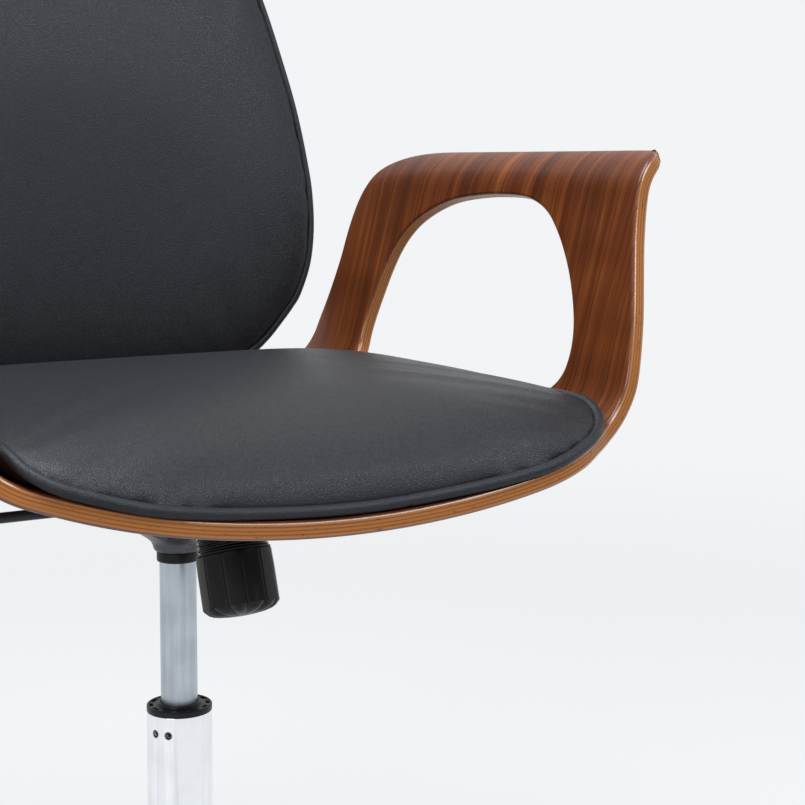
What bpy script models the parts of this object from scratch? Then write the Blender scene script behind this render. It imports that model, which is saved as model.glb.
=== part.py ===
"""Office chair: bent plywood seat with arms, padded seat and back, tilt mechanism, gas lift, five castors."""
import math

import bmesh
import bpy
from mathutils import Matrix, Vector

for old in list(bpy.data.objects):
    bpy.data.objects.remove(old, do_unlink=True)

# Driving sizes in metres; forward distances are counted from the gas lift's axis
COLUMN_Y = -0.0270
GAP = 0.0003
PLY = 0.012
SCREW_R = 0.0025
SCREW_HOLE = 0.0029
SHELL_BOTTOM = 0.480
SEAT_ARC_R = 0.6946
SEAT_ARC_END = math.radians(17.4)
CORNER_R = 0.0635
CORNER_END = math.radians(73.4)
WALL_R = 3.0
WALL_END = math.radians(74.7)
FLARE_R = 0.035
FLARE_END = math.radians(20.7)
SHELL_HALF = 0.4431
ARM_ROOT = 0.230
ARM_DRAWN = 0.2131

CUSHION_TOP = 0.562
CUSHION_REAR_TOP = 0.5425
PIPE_R = 0.004
SEAT_PIPE_FRONT = 0.280
SEAT_PIPE_REAR = -0.2010
SEAT_PIPE_SIDE = 0.210

BACK_FOOT_F = -0.247
BACK_FOOT_Z = 0.500
BACK_LEAN = math.radians(8.5)
BACK_PLAN_R = 0.750
BACK_PLY = 0.010
BACK_PAD = 0.042
BRACKET_T = 0.006
BRACKET_W = 0.056

TUBE_R = 0.025
TUBE_FOOT_R = 0.0242
TUBE_TAPER_Z = 0.062
TUBE_BODY_Z = 0.110
TUBE_BORE = 0.0235
TUBE_SIDES = 36
TUBE_FOOT = 0.056
TUBE_TOP = 0.2927
COLLAR_TOP = 0.2975
DIMPLE_Z = 0.2793
DIMPLE_ANGLES = (199.0, 225.5)
TUBE_FLOOR = 0.003
ROD_R = 0.005
ROD_CLEAR = 0.0006
CYLINDER_R = 0.014
CYLINDER_FOOT = 0.168
CYLINDER_TOP = 0.448
CYLINDER_BORE = 0.011
BUSH_Z0 = 0.4090
BUSH_Z1 = 0.417

PIVOT_F = 0.045
PIVOT_Z = 0.450
SHAFT_R = 0.005
HOUSING_HALF = 0.036
HOUSING_FLOOR = 0.4376
HOUSING_WALL = 0.0025
PLATE_HALF_S = 0.095
PLATE_T = 0.004
EAR_X = 0.0385
EAR_T = 0.003

KNOB_F = 0.096
KNOB_Z = 0.433
KNOB_TILT = math.radians(19.0)
KNOB_R = 0.0276
KNOB_H = 0.0455
BOLT_R = 0.004
BOLT_CLEAR = 0.0004
WASHER_R = 0.0268
WASHER_T = 0.0012
WIRE_R = 0.00110
SPRING_R = 0.0248
SPRING_TURNS = 6
SPRING_STEPS = 12
TONGUE_A = 0.0235
TONGUE_T = 0.003
TONGUE_HALF = 0.0265

LEVER_Z = 0.4560
LEVER_R = 0.004
LEVER_PIVOT_X = -0.0372

HUB_FOOT = 0.060
HUB_TOP = 0.132
LEG_R = 0.275
SOCKET_R = 0.0058
STEM_R = 0.0055
BOSS_FOOT = 0.0615
BOSS_TOP = 0.0900
WHEEL_R = 0.025
WHEEL_W = 0.0160
WHEEL_SIDES = 16
WHEEL_IN = 0.0098
TRAIL = 0.019
HOOD_R = 0.0290
HOOD_INSIDE_R = 0.0268
HOOD_START = 12.0
HOOD_SWEEP = 156.0
HOOD_STEPS = 7
NECK_R = 0.0088
AXLE_R = 0.003

SEAT_FRONT_EDGE = [
    (0.000, 0.284), (0.060, 0.284), (0.110, 0.284), (0.150, 0.2825), (0.180, 0.2750), (0.205, 0.2615),
    (0.225, 0.2515), (0.250, 0.2460), (0.280, 0.2430), (0.315, 0.2350), (0.345, 0.2255), (0.375, 0.2160),
    (0.400, 0.2100), (0.420, 0.2070), (0.434, 0.2035), (0.4410, 0.1970),
]
ARM_TOP = ARM_ROOT + ARM_DRAWN
ARM_TOP_EDGE = [
    (ARM_TOP, 0.188), (ARM_TOP, 0.120), (ARM_TOP, 0.050), (ARM_TOP, -0.020), (ARM_TOP, -0.080),
]
ARM_REAR_EDGE = [
    (0.4415, -0.110), (0.4365, -0.138), (0.4260, -0.166), (0.4120, -0.183), (0.3950, -0.1925),
    (0.3700, -0.1980), (0.3400, -0.2005), (0.3070, -0.2060), (0.2770, -0.2130), (0.2450, -0.2180),
    (0.2000, -0.2220), (0.1400, -0.2245), (0.0700, -0.225), (0.0000, -0.225),
]
OPENING = [
    (0.2360, 0.020), (0.2360, 0.070), (0.2365, 0.110), (0.2395, 0.135), (0.2460, 0.152), (0.2580, 0.163),
    (0.2740, 0.169), (0.2900, 0.170), (0.3080, 0.166), (0.3280, 0.157), (0.3480, 0.145), (0.3660, 0.131),
    (0.3795, 0.118), (0.3910, 0.104), (0.3990, 0.088), (0.4040, 0.068), (0.4055, 0.040), (0.4045, 0.005),
    (0.4000, -0.034), (0.3920, -0.062), (0.3810, -0.085), (0.3690, -0.100), (0.3540, -0.1110),
    (0.3340, -0.1190), (0.3110, -0.1245), (0.2880, -0.1285), (0.2700, -0.1285), (0.2550, -0.1230),
    (0.2440, -0.1110), (0.2380, -0.0910), (0.2360, -0.060), (0.2360, -0.020),
]
BACK_OUTLINE = [
    (0.000, 0.012), (0.060, 0.012), (0.120, 0.014), (0.160, 0.022), (0.185, 0.033), (0.200, 0.045),
    (0.213, 0.059), (0.224, 0.072), (0.233, 0.085), (0.244, 0.112), (0.2495, 0.141), (0.251, 0.170),
    (0.2495, 0.200), (0.242, 0.257), (0.2295, 0.315), (0.218, 0.360), (0.204, 0.402), (0.186, 0.442),
    (0.161, 0.480), (0.132, 0.510), (0.098, 0.531), (0.055, 0.545), (0.000, 0.549),
]


# Materials
def material(name, colour, roughness, metallic):
    mat = bpy.data.materials.new(name)
    mat.use_nodes = True
    shader = mat.node_tree.nodes["Principled BSDF"]
    shader.inputs["Base Color"].default_value = (colour[0], colour[1], colour[2], 1.0)
    shader.inputs["Roughness"].default_value = roughness
    shader.inputs["Metallic"].default_value = metallic
    return mat


WALNUT = (0.150, 0.058, 0.026)
PAD_BLACK = (0.016, 0.017, 0.020)
PLASTIC_BLACK = (0.020, 0.020, 0.022)
STEEL_DARK = (0.060, 0.062, 0.066)
STEEL_BRIGHT = (0.620, 0.630, 0.650)


# Building helpers
def new_object(name, verts, faces, look, parent=None, origin=(0.0, 0.0, 0.0), smooth=40.0):
    mesh = bpy.data.meshes.new(name)
    mesh.from_pydata([tuple(v) for v in verts], [], faces)
    return mesh_object(name, mesh, look, parent, origin, smooth)


def mesh_object(name, mesh, look, parent=None, origin=(0.0, 0.0, 0.0), smooth=40.0):
    bm = bmesh.new()
    bm.from_mesh(mesh)
    bmesh.ops.remove_doubles(bm, verts=bm.verts, dist=1e-7)
    bmesh.ops.recalc_face_normals(bm, faces=bm.faces)
    bm.to_mesh(mesh)
    bm.free()
    mesh.shade_smooth()
    mesh.set_sharp_from_angle(angle=math.radians(smooth))
    ob = bpy.data.objects.new(name, mesh)
    bpy.context.scene.collection.objects.link(ob)
    mesh.materials.clear()
    mesh.materials.append(material(name + "_mat", look[0], look[1], look[2]))
    place(ob, parent, origin)
    return ob


def place(ob, parent, origin):
    if parent is None:
        ob.location = origin
        return
    ob.parent = parent
    ob.location = Vector(origin) - world_of(parent)


def world_of(ob):
    spot = Vector(ob.location)
    while ob.parent is not None:
        ob = ob.parent
        spot = spot + Vector(ob.location)
    return spot


def pivot(name, origin, parent=None):
    ob = bpy.data.objects.new(name, None)
    ob.empty_display_size = 0.02
    bpy.context.scene.collection.objects.link(ob)
    place(ob, parent, origin)
    return ob


def ring_verts(r, z, segs, turn=0.0, wave=0.0, waves=0):
    out = []
    for i in range(segs):
        a = turn + 2.0 * math.pi * i / segs
        rr = r * (1.0 + wave * math.cos(waves * a))
        out.append(Vector((rr * math.cos(a), rr * math.sin(a), z)))
    return out


def turned(profile, segs, turn=0.0, waves=0):
    """Closed outline of (radius, height[, wave]) turned about Z."""
    verts = []
    rings = []
    for point in profile:
        wave = point[2] if len(point) > 2 else 0.0
        if point[0] < 1e-9:
            rings.append([len(verts)])
            verts.append(Vector((0.0, 0.0, point[1])))
        else:
            rings.append(list(range(len(verts), len(verts) + segs)))
            verts.extend(ring_verts(point[0], point[1], segs, turn, wave, waves))
    faces = []
    count = len(rings)
    for k in range(count):
        a = rings[k]
        b = rings[(k + 1) % count]
        if len(a) == 1 and len(b) == 1:
            continue
        for i in range(segs):
            j = (i + 1) % segs
            if len(a) == 1:
                faces.append((a[0], b[i], b[j]))
            elif len(b) == 1:
                faces.append((a[i], a[j], b[0]))
            else:
                faces.append((a[i], a[j], b[j], b[i]))
    return verts, faces


def prism(outline, low, high, place_point):
    """Straight solid from a flat outline; place_point(u, v, w) gives the corner."""
    n = len(outline)
    verts = [place_point(u, v, low) for u, v in outline]
    verts += [place_point(u, v, high) for u, v in outline]
    faces = [tuple(range(n)), tuple(range(2 * n - 1, n - 1, -1))]
    for i in range(n):
        j = (i + 1) % n
        faces.append((i, j, n + j, n + i))
    return verts, faces


def moved(part, matrix):
    return [matrix @ Vector(v) for v in part[0]], part[1]


def temporary(part):
    mesh = bpy.data.meshes.new("cutter")
    mesh.from_pydata([tuple(v) for v in part[0]], [], part[1])
    bm = bmesh.new()
    bm.from_mesh(mesh)
    bmesh.ops.recalc_face_normals(bm, faces=bm.faces)
    bm.to_mesh(mesh)
    bm.free()
    ob = bpy.data.objects.new("cutter", mesh)
    bpy.context.scene.collection.objects.link(ob)
    return ob


def combined(body, steps):
    """Boolean steps on a (verts, faces) body; steps are (operation, part)."""
    ob = temporary(body)
    tools = []
    for operation, part in steps:
        tool = temporary(part)
        tools.append(tool)
        mod = ob.modifiers.new("cut", "BOOLEAN")
        mod.operation = operation
        mod.solver = "EXACT"
        mod.object = tool
    bpy.context.view_layer.update()
    graph = bpy.context.evaluated_depsgraph_get()
    mesh = bpy.data.meshes.new_from_object(ob.evaluated_get(graph))
    bpy.data.objects.remove(ob, do_unlink=True)
    for tool in tools:
        bpy.data.objects.remove(tool, do_unlink=True)
    bm = bmesh.new()
    bm.from_mesh(mesh)
    bmesh.ops.remove_doubles(bm, verts=bm.verts, dist=2e-6)
    bmesh.ops.dissolve_degenerate(bm, edges=bm.edges, dist=2e-6)
    bm.to_mesh(mesh)
    bm.free()
    return mesh


def as_part(mesh):
    return [v.co.copy() for v in mesh.vertices], [tuple(p.vertices) for p in mesh.polygons]


def rod(r, z0, z1, segs, turn=0.0):
    return turned([(0.0, z0), (r, z0), (r, z1), (0.0, z1)], segs, turn)


def smooth_loop(points, per, closed=True):
    """Catmull-Rom curve through the points."""
    out = []
    n = len(points)
    last = n if closed else n - 1
    for i in range(last):
        if closed:
            p = [points[(i + k - 1) % n] for k in range(4)]
        else:
            p = [points[min(max(i + k - 1, 0), n - 1)] for k in range(4)]
        for j in range(per):
            t = j / per
            row = []
            for d in range(len(points[0])):
                a, b, c, e = p[0][d], p[1][d], p[2][d], p[3][d]
                row.append(0.5 * (2 * b + (c - a) * t + (2 * a - 5 * b + 4 * c - e) * t * t
                                  + (3 * b - a - 3 * c + e) * t * t * t))
            out.append(tuple(row))
    if not closed:
        out.append(tuple(points[-1]))
    return out


def even_loop(points, count):
    """The closed loop resampled at an even step."""
    n = len(points)
    pts = [Vector(p) for p in points]
    lengths = [(pts[(i + 1) % n] - pts[i]).length for i in range(n)]
    total = sum(lengths)
    out = []
    k = 0
    run = 0.0
    for i in range(count):
        want = total * i / count
        while run + lengths[k] < want:
            run += lengths[k]
            k += 1
        out.append(pts[k].lerp(pts[(k + 1) % n], (want - run) / lengths[k]))
    return out


# Bent plywood: a flat blank with developed coordinates s (across) and forward, wrapped on the profile
def shell_stations():
    arcs = [
        (SEAT_ARC_R, 0.0, SEAT_ARC_END, 1.0), (CORNER_R, SEAT_ARC_END, CORNER_END, 1.0),
        (WALL_R, CORNER_END, WALL_END, 1.0),
    ]
    rows = []
    s = 0.0
    x = 0.0
    z = SHELL_BOTTOM
    heading = 0.0
    marks = [[0.030, 0.0625, 0.095, 0.130, 0.170], None, None]
    for index, (radius, start, end, sign) in enumerate(arcs):
        if marks[index]:
            angles = [m / radius for m in marks[index]] + [end]
        else:
            steps = 7 if index == 1 else 3
            angles = [start + (end - start) * (i + 1) / steps for i in range(steps)]
        for angle in angles:
            nx = x + radius * (math.sin(angle) - math.sin(heading))
            nz = z + radius * (math.cos(heading) - math.cos(angle))
            s += radius * (angle - heading)
            x, z, heading = nx, nz, angle
            rows.append((s, x, z, heading))
    steps = 5
    flare_length = FLARE_R * (WALL_END - FLARE_END)
    lead = SHELL_HALF - s - flare_length
    if lead > 0.001:
        x += lead * math.cos(heading)
        z += lead * math.sin(heading)
        s += lead
        rows.append((s, x, z, heading))
    for i in range(steps):
        angle = WALL_END + (FLARE_END - WALL_END) * (i + 1) / steps
        x = x + FLARE_R * (math.sin(heading) - math.sin(angle))
        z = z + FLARE_R * (math.cos(angle) - math.cos(heading))
        s += FLARE_R * (heading - angle)
        heading = angle
        rows.append((s, x, z, heading))
    return rows


STATIONS = shell_stations()


def bend(s, forward, t):
    """Point at developed distance s, forward of the column, t above the outer face."""
    side = 1.0 if s >= 0.0 else -1.0
    d = abs(s)
    first = STATIONS[0]
    if d <= first[0]:
        k = d / first[0]
        x = k * (first[1] - t * math.sin(first[3]))
        z = first[2] + t * math.cos(first[3])
    else:
        i = 0
        while i < len(STATIONS) - 2 and STATIONS[i + 1][0] < d:
            i += 1
        a = STATIONS[i]
        b = STATIONS[i + 1]
        k = (d - a[0]) / (b[0] - a[0])
        ax, az = a[1] - t * math.sin(a[3]), a[2] + t * math.cos(a[3])
        bx, bz = b[1] - t * math.sin(b[3]), b[2] + t * math.cos(b[3])
        x = ax + k * (bx - ax)
        z = az + k * (bz - az)
    return Vector((side * x, COLUMN_Y - forward, z))


def inner_height(x):
    """Height of the shell's upper face at a distance from the middle."""
    d = abs(x)
    last = bend(0.0, 0.0, PLY)
    for row in STATIONS:
        p = bend(row[0], 0.0, PLY)
        if p.x >= d:
            k = (d - last.x) / max(p.x - last.x, 1e-9)
            return last.z + k * (p.z - last.z)
        last = p
    return last.z


def bend_part(part, cuts):
    """Slice a flat (s, forward, t) solid at the stations and wrap it."""
    bm = bmesh.new()
    verts = [bm.verts.new((v[0], v[1], v[2])) for v in part[0]]
    for f in part[1]:
        bm.faces.new([verts[i] for i in f])
    bmesh.ops.recalc_face_normals(bm, faces=bm.faces)
    for s in cuts:
        for side in (-1.0, 1.0):
            bmesh.ops.bisect_plane(bm, geom=bm.verts[:] + bm.edges[:] + bm.faces[:], dist=1e-6,
                                   plane_co=(side * s, 0.0, 0.0), plane_no=(1.0, 0.0, 0.0))
    bmesh.ops.remove_doubles(bm, verts=bm.verts, dist=3e-5)
    bmesh.ops.dissolve_degenerate(bm, edges=bm.edges, dist=1e-5)
    for v in bm.verts:
        v.co = bend(v.co.x, v.co.y, v.co.z)
    mesh = bpy.data.meshes.new("bent")
    bm.to_mesh(mesh)
    bm.free()
    return mesh


def flat_point(u, v, w):
    return Vector((u, v, w))


# Bodies
root = pivot("chair_base", (0.0, COLUMN_Y, 0.0))
piston_axis = pivot("seat_swivel_axis", (0.0, COLUMN_Y, TUBE_FOOT), root)
lift_axis = pivot("gas_lift_axis", (0.0, COLUMN_Y, CYLINDER_FOOT), piston_axis)
seat_axis = pivot("seat_tilt_axis", (0.0, COLUMN_Y - PIVOT_F, PIVOT_Z), lift_axis)
column = (0.0, COLUMN_Y, 0.0)


def at_column(name, part, look, parent, smooth=40.0):
    return new_object(name, part[0], part[1], look, parent, column, smooth)


# Five-star base
def leg_part(angle):
    rows = [
        (0.080 * LEG_R, 0.097, 0.0205, 0.0270), (0.218 * LEG_R, 0.0955, 0.0190, 0.0235),
        (0.473 * LEG_R, 0.0885, 0.0165, 0.0185), (0.764 * LEG_R, 0.0805, 0.0145, 0.0140),
        (0.975 * LEG_R, 0.0765, 0.0135, 0.0118),
    ]
    verts = []
    sides = 8
    for r, z, hw, hh in rows:
        for i in range(sides):
            a = 2.0 * math.pi * (i + 0.5) / sides
            u = math.copysign(abs(math.cos(a)) ** 0.75, math.cos(a)) * hw
            v = math.copysign(abs(math.sin(a)) ** 0.65, math.sin(a)) * hh
            verts.append(Vector((r, u, z + v)))
    faces = [tuple(range(sides)), tuple(range(len(verts) - 1, len(verts) - 1 - sides, -1))]
    for k in range(len(rows) - 1):
        for i in range(sides):
            j = (i + 1) % sides
            a = k * sides
            b = a + sides
            faces.append((a + i, a + j, b + j, b + i))
    spin = Matrix.Rotation(angle, 4, "Z")
    return [spin @ v for v in verts], faces


LEG_ANGLES = [math.radians(90.0 + 72.0 * i) for i in range(5)]
hub = turned([
    (0.0, HUB_FOOT), (0.034, HUB_FOOT), (0.0365, 0.064), (0.0375, 0.095), (0.0350, 0.118), (0.0315, 0.1295),
    (0.0295, HUB_TOP), (0.0, HUB_TOP),
], 28)
steps = []
for angle in LEG_ANGLES:
    steps.append(("UNION", leg_part(angle)))
    boss = turned([
        (0.0, BOSS_FOOT), (0.0155, BOSS_FOOT), (0.0165, 0.0640), (0.0168, 0.0840), (0.0140, 0.0885),
        (0.0, BOSS_TOP),
    ], 14)
    out = Matrix.Translation((LEG_R * math.cos(angle), LEG_R * math.sin(angle), 0.0))
    steps.append(("UNION", moved(boss, out)))
for angle in LEG_ANGLES:
    out = Matrix.Translation((LEG_R * math.cos(angle), LEG_R * math.sin(angle), 0.0))
    steps.append(("DIFFERENCE", moved(rod(SOCKET_R, BOSS_FOOT - 0.02, 0.0855, 10), out)))
bore = turned([
    (0.0, 0.030), (TUBE_FOOT_R + GAP, 0.030), (TUBE_FOOT_R + GAP, TUBE_TAPER_Z), (TUBE_R + GAP, TUBE_BODY_Z),
    (TUBE_R + GAP, 0.160), (0.0, 0.160),
], TUBE_SIDES)
steps.append(("DIFFERENCE", bore))
mesh_object("star_base", combined(hub, steps), (STEEL_BRIGHT, 0.18, 1.0), root, column, 35.0)

# Gas lift, outer tube with two punched dimples
tube = turned([
    (ROD_R + ROD_CLEAR, TUBE_FOOT), (TUBE_FOOT_R, TUBE_FOOT), (TUBE_FOOT_R, TUBE_TAPER_Z),
    (TUBE_R, TUBE_BODY_Z), (TUBE_R, TUBE_TOP), (TUBE_BORE, TUBE_TOP), (TUBE_BORE, TUBE_FOOT + TUBE_FLOOR),
    (ROD_R + ROD_CLEAR, TUBE_FOOT + TUBE_FLOOR),
], TUBE_SIDES)
dimples = []
for degrees in DIMPLE_ANGLES:
    a = math.radians(degrees)
    ball = turned([(0.0, -0.003), (0.0021, -0.0021), (0.003, 0.0), (0.0021, 0.0021), (0.0, 0.003)], 10)
    spot = Matrix.Translation((0.0264 * math.cos(a), 0.0264 * math.sin(a), DIMPLE_Z))
    dimples.append(("DIFFERENCE", moved(ball, spot)))
mesh_object("outer_column", combined(tube, dimples), (STEEL_BRIGHT, 0.15, 1.0), root, column, 35.0)

collar = turned([
    (0.0166, 0.2780), (0.0232, 0.2780), (0.0232, TUBE_TOP + GAP), (0.0250, TUBE_TOP + GAP),
    (0.0250, COLLAR_TOP - 0.0008), (0.0243, COLLAR_TOP), (0.0168, COLLAR_TOP), (0.0162, COLLAR_TOP + 0.0018),
    (0.0146, COLLAR_TOP + 0.0018), (0.0146, 0.2900), (0.0166, 0.2895),
], TUBE_SIDES)
slots = []
for i in range(12):
    a = math.radians(30.0 * i + 9.0)
    box = prism([(0.0198, -0.0019), (0.0230, -0.0019), (0.0230, 0.0019), (0.0198, 0.0019)],
                COLLAR_TOP - 0.0018, COLLAR_TOP + 0.004, flat_point)
    slots.append(("DIFFERENCE", moved(box, Matrix.Rotation(a, 4, "Z"))))
mesh_object("column_collar", combined(collar, slots), (PLASTIC_BLACK, 0.45, 0.0), root, column, 35.0)

at_column("guide_sleeve", turned([
    (0.0144, 0.1400), (0.0231, 0.1400), (0.0231, 0.2775), (0.0144, 0.2775),
], 28), (PLASTIC_BLACK, 0.5, 0.0), root)
at_column("thrust_bearing", turned([
    (0.0058, 0.0594), (0.0130, 0.0594), (0.0130, 0.0662), (0.0058, 0.0662),
], 24), (STEEL_BRIGHT, 0.3, 1.0), root)
at_column("retaining_clip", turned([
    (ROD_R + GAP, 0.0540), (0.0100, 0.0540), (0.0100, TUBE_FOOT - GAP), (ROD_R + GAP, TUBE_FOOT - GAP),
], 24), (STEEL_DARK, 0.4, 1.0), piston_axis)
at_column("piston_rod", turned([
    (0.0, 0.0515), (ROD_R, 0.0515), (ROD_R, 0.0665), (0.0085, 0.0665), (0.0085, 0.0680), (ROD_R, 0.0680),
    (ROD_R, 0.1760), (0.0105, 0.1760), (0.0105, 0.1860), (0.0, 0.1860),
], 16), (STEEL_BRIGHT, 0.12, 1.0), piston_axis)
at_column("gas_cylinder", turned([
    (ROD_R + 0.0005, CYLINDER_FOOT), (0.0132, CYLINDER_FOOT), (CYLINDER_R, CYLINDER_FOOT + 0.0008),
    (CYLINDER_R, 0.4180), (0.0132, CYLINDER_TOP), (0.0033, CYLINDER_TOP), (0.0033, CYLINDER_TOP - 0.014),
    (CYLINDER_BORE, CYLINDER_TOP - 0.014), (CYLINDER_BORE, CYLINDER_FOOT + 0.006),
    (ROD_R + 0.0005, CYLINDER_FOOT + 0.006),
], 28), ((0.36, 0.38, 0.41), 0.30, 1.0), lift_axis)
valve_axis = pivot("valve_axis", (0.0, COLUMN_Y, CYLINDER_TOP), lift_axis)
at_column("valve_pin", turned([
    (0.0, CYLINDER_TOP - 0.010), (0.0029, CYLINDER_TOP - 0.010), (0.0029, CYLINDER_TOP + 0.0050),
    (0.0022, CYLINDER_TOP + 0.0056), (0.0, CYLINDER_TOP + 0.0056),
], 16), (STEEL_BRIGHT, 0.3, 1.0), valve_axis)
at_column("taper_bush", turned([
    (CYLINDER_R + GAP, BUSH_Z0), (0.0150, BUSH_Z0), (0.0160, BUSH_Z0 + 0.001), (0.0160, BUSH_Z1 - 0.001),
    (0.0155, BUSH_Z1), (CYLINDER_R + GAP, BUSH_Z1),
], 28), (PLASTIC_BLACK, 0.4, 0.0), lift_axis)
at_column("taper_socket", turned([
    (CYLINDER_R + GAP, BUSH_Z1 + GAP), (0.0175, BUSH_Z1 + GAP), (0.0190, BUSH_Z1 + 0.0025), (0.0215, 0.4255),
    (0.0290, 0.4310), (0.0350, 0.4345), (0.0355, HOUSING_FLOOR - GAP),
    (CYLINDER_R + GAP, HOUSING_FLOOR - GAP),
], 28), (STEEL_DARK, 0.45, 0.8), lift_axis)


# Mechanism housing: pressed channel with a front tongue for the spring
def side_point(u, v, w):
    return Vector((w, -u, v))


KNOB_TOP = Vector((0.0, COLUMN_Y - KNOB_F, KNOB_Z))


def along_knob(a, f):
    """Forward and height of a point a up the knob's axis and f across it."""
    return (KNOB_F - a * math.sin(KNOB_TILT) + f * math.cos(KNOB_TILT),
            KNOB_Z + a * math.cos(KNOB_TILT) + f * math.sin(KNOB_TILT))


outer = prism([
    (-0.056, HOUSING_FLOOR), (0.060, HOUSING_FLOOR), (0.0630, 0.4410), (0.0630, 0.4600), (0.036, 0.4600),
    (-0.014, 0.4600), (-0.056, 0.4490),
], -HOUSING_HALF, HOUSING_HALF, side_point)
inside = prism([
    (-0.0535, HOUSING_FLOOR + 0.0025), (0.0585, HOUSING_FLOOR + 0.0025), (0.0605, 0.4430), (0.0605, 0.4700),
    (-0.0535, 0.4700),
], -HOUSING_HALF + HOUSING_WALL, HOUSING_HALF - HOUSING_WALL, side_point)
low = along_knob(TONGUE_A, -0.0285)
high = along_knob(TONGUE_A + TONGUE_T, -0.0285)
low_far = along_knob(TONGUE_A, 0.0280)
high_far = along_knob(TONGUE_A + TONGUE_T, 0.0280)
tongue = prism([low, low_far, high_far, high], -TONGUE_HALF, TONGUE_HALF, side_point)
slot_low = along_knob(TONGUE_A - 0.006, -0.0056)
slot_low_far = along_knob(TONGUE_A - 0.006, 0.0165)
slot_high_far = along_knob(TONGUE_A + 0.010, 0.0165)
slot_high = along_knob(TONGUE_A + 0.010, -0.0056)
slot = prism([slot_low, slot_low_far, slot_high_far, slot_high], -0.0050, 0.0050, side_point)
across = Matrix.Translation((0.0, -PIVOT_F, PIVOT_Z)) @ Matrix.Rotation(math.radians(90.0), 4, "Y")
shaft_hole = moved(rod(SHAFT_R + GAP, -0.06, 0.06, 20), across)
notch_half = LEVER_R + GAP
notch_foot = LEVER_Z - LEVER_R - GAP
lever_notch = prism([(-notch_half, notch_foot), (notch_half, notch_foot), (notch_half, 0.4700),
                     (-notch_half, 0.4700)], -0.0420, -0.0300, side_point)
housing = combined(outer, [
    ("DIFFERENCE", inside), ("UNION", tongue), ("DIFFERENCE", slot),
    ("DIFFERENCE", rod(CYLINDER_R + GAP, 0.42, 0.445, 28)), ("DIFFERENCE", shaft_hole),
    ("DIFFERENCE", lever_notch),
])
mesh_object("mechanism_housing", housing, (STEEL_DARK, 0.42, 0.7), lift_axis, column, 35.0)
shaft = moved(turned([
    (0.0, -0.0455), (SHAFT_R - 0.0006, -0.0455), (SHAFT_R, -0.0449), (SHAFT_R, 0.0449),
    (SHAFT_R - 0.0006, 0.0455), (0.0, 0.0455),
], 20), across)
at_column("pivot_shaft", shaft, (STEEL_BRIGHT, 0.3, 1.0), lift_axis)

# Height lever
lever_axis = pivot("lever_axis", (LEVER_PIVOT_X, COLUMN_Y, LEVER_Z), lift_axis)
rod_turn = Matrix.Translation((0.0, 0.0, LEVER_Z)) @ Matrix.Rotation(math.radians(-90.0), 4, "Y")
lever_rod = moved(turned([
    (0.0, -0.0050), (0.0019, -0.0050), (0.0019, 0.0280), (LEVER_R, 0.0320), (LEVER_R, 0.1500),
    (LEVER_R, 0.2330), (0.0, 0.2330),
], 16), rod_turn)
at_column("lever_rod", lever_rod, (STEEL_DARK, 0.35, 0.8), lever_axis)
grip = moved(turned([
    (LEVER_R + GAP, 0.1500), (0.0075, 0.1500), (0.0085, 0.1520), (0.0080, 0.1850), (0.0100, 0.2250),
    (0.0105, 0.2420), (0.0085, 0.2450), (0.0, 0.2455), (0.0, 0.2340), (LEVER_R + GAP, 0.2340),
], 16), rod_turn)
at_column("lever_grip", grip, (PLASTIC_BLACK, 0.5, 0.0), lever_axis)

# Tension knob, washer, bolt and spring on the inclined axis
knob_axis = pivot("tension_turn_axis", tuple(KNOB_TOP), seat_axis)
washer_axis = pivot("tension_travel_axis", tuple(KNOB_TOP), knob_axis)


def on_knob_axis(name, part, look, parent, smooth=40.0):
    ob = new_object(name, part[0], part[1], look, None, (0.0, 0.0, 0.0), smooth)
    place(ob, parent, tuple(KNOB_TOP))
    ob.rotation_euler = (-KNOB_TILT, 0.0, 0.0)
    return ob


FLUTES = 12
knob = turned([
    (BOLT_R + BOLT_CLEAR, -0.0006, 0.0), (0.0262, -0.0006, 0.0), (0.0272, -0.0022, 0.012),
    (KNOB_R, -0.0080, 0.024), (KNOB_R, -0.0375, 0.030), (0.0248, -0.0420, 0.030), (0.0185, -0.0436, 0.0),
    (0.0, -KNOB_H, 0.0), (0.0, -0.0340, 0.0), (BOLT_R + BOLT_CLEAR, -0.0340, 0.0),
], 4 * FLUTES, 0.0, FLUTES)
on_knob_axis("tension_knob", knob, (PLASTIC_BLACK, 0.38, 0.0), knob_axis)
washer = turned([
    (BOLT_R + BOLT_CLEAR, -GAP), (WASHER_R, -GAP), (WASHER_R, WASHER_T), (BOLT_R + BOLT_CLEAR, WASHER_T),
], 24)
on_knob_axis("tension_washer", washer, (PLASTIC_BLACK, 0.4, 0.0), washer_axis)
bolt_top = (0.4757 - GAP - KNOB_Z) / math.cos(KNOB_TILT) - 0.0042
bolt = turned([
    (0.0, -0.0320), (BOLT_R, -0.0320), (BOLT_R, bolt_top - 0.005), (0.0068, bolt_top - 0.005),
    (0.0068, bolt_top), (0.0, bolt_top),
], 16)

spring_points = []
low_end = WASHER_T + GAP
high_end = TONGUE_A - GAP
rise = 2.0 * WIRE_R
total_steps = SPRING_TURNS * SPRING_STEPS
spring_points.append(Vector((SPRING_R, 0.0, low_end)))
for i in range(total_steps + 1):
    a = 2.0 * math.pi * i / SPRING_STEPS
    h = low_end + rise + (high_end - low_end - 2.0 * rise) * i / total_steps
    spring_points.append(Vector((SPRING_R * math.cos(a), SPRING_R * math.sin(a), h)))
spring_points.append(Vector((SPRING_R, 0.0, high_end)))
curve = bpy.data.curves.new("tension_spring", "CURVE")
curve.dimensions = "3D"
curve.bevel_depth = WIRE_R
curve.bevel_resolution = 1
curve.use_fill_caps = True
spline = curve.splines.new("POLY")
spline.points.add(len(spring_points) - 1)
for point, co in zip(spline.points, spring_points):
    point.co = (co.x, co.y, co.z, 1.0)
spring = bpy.data.objects.new("tension_spring", curve)
bpy.context.scene.collection.objects.link(spring)
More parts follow.
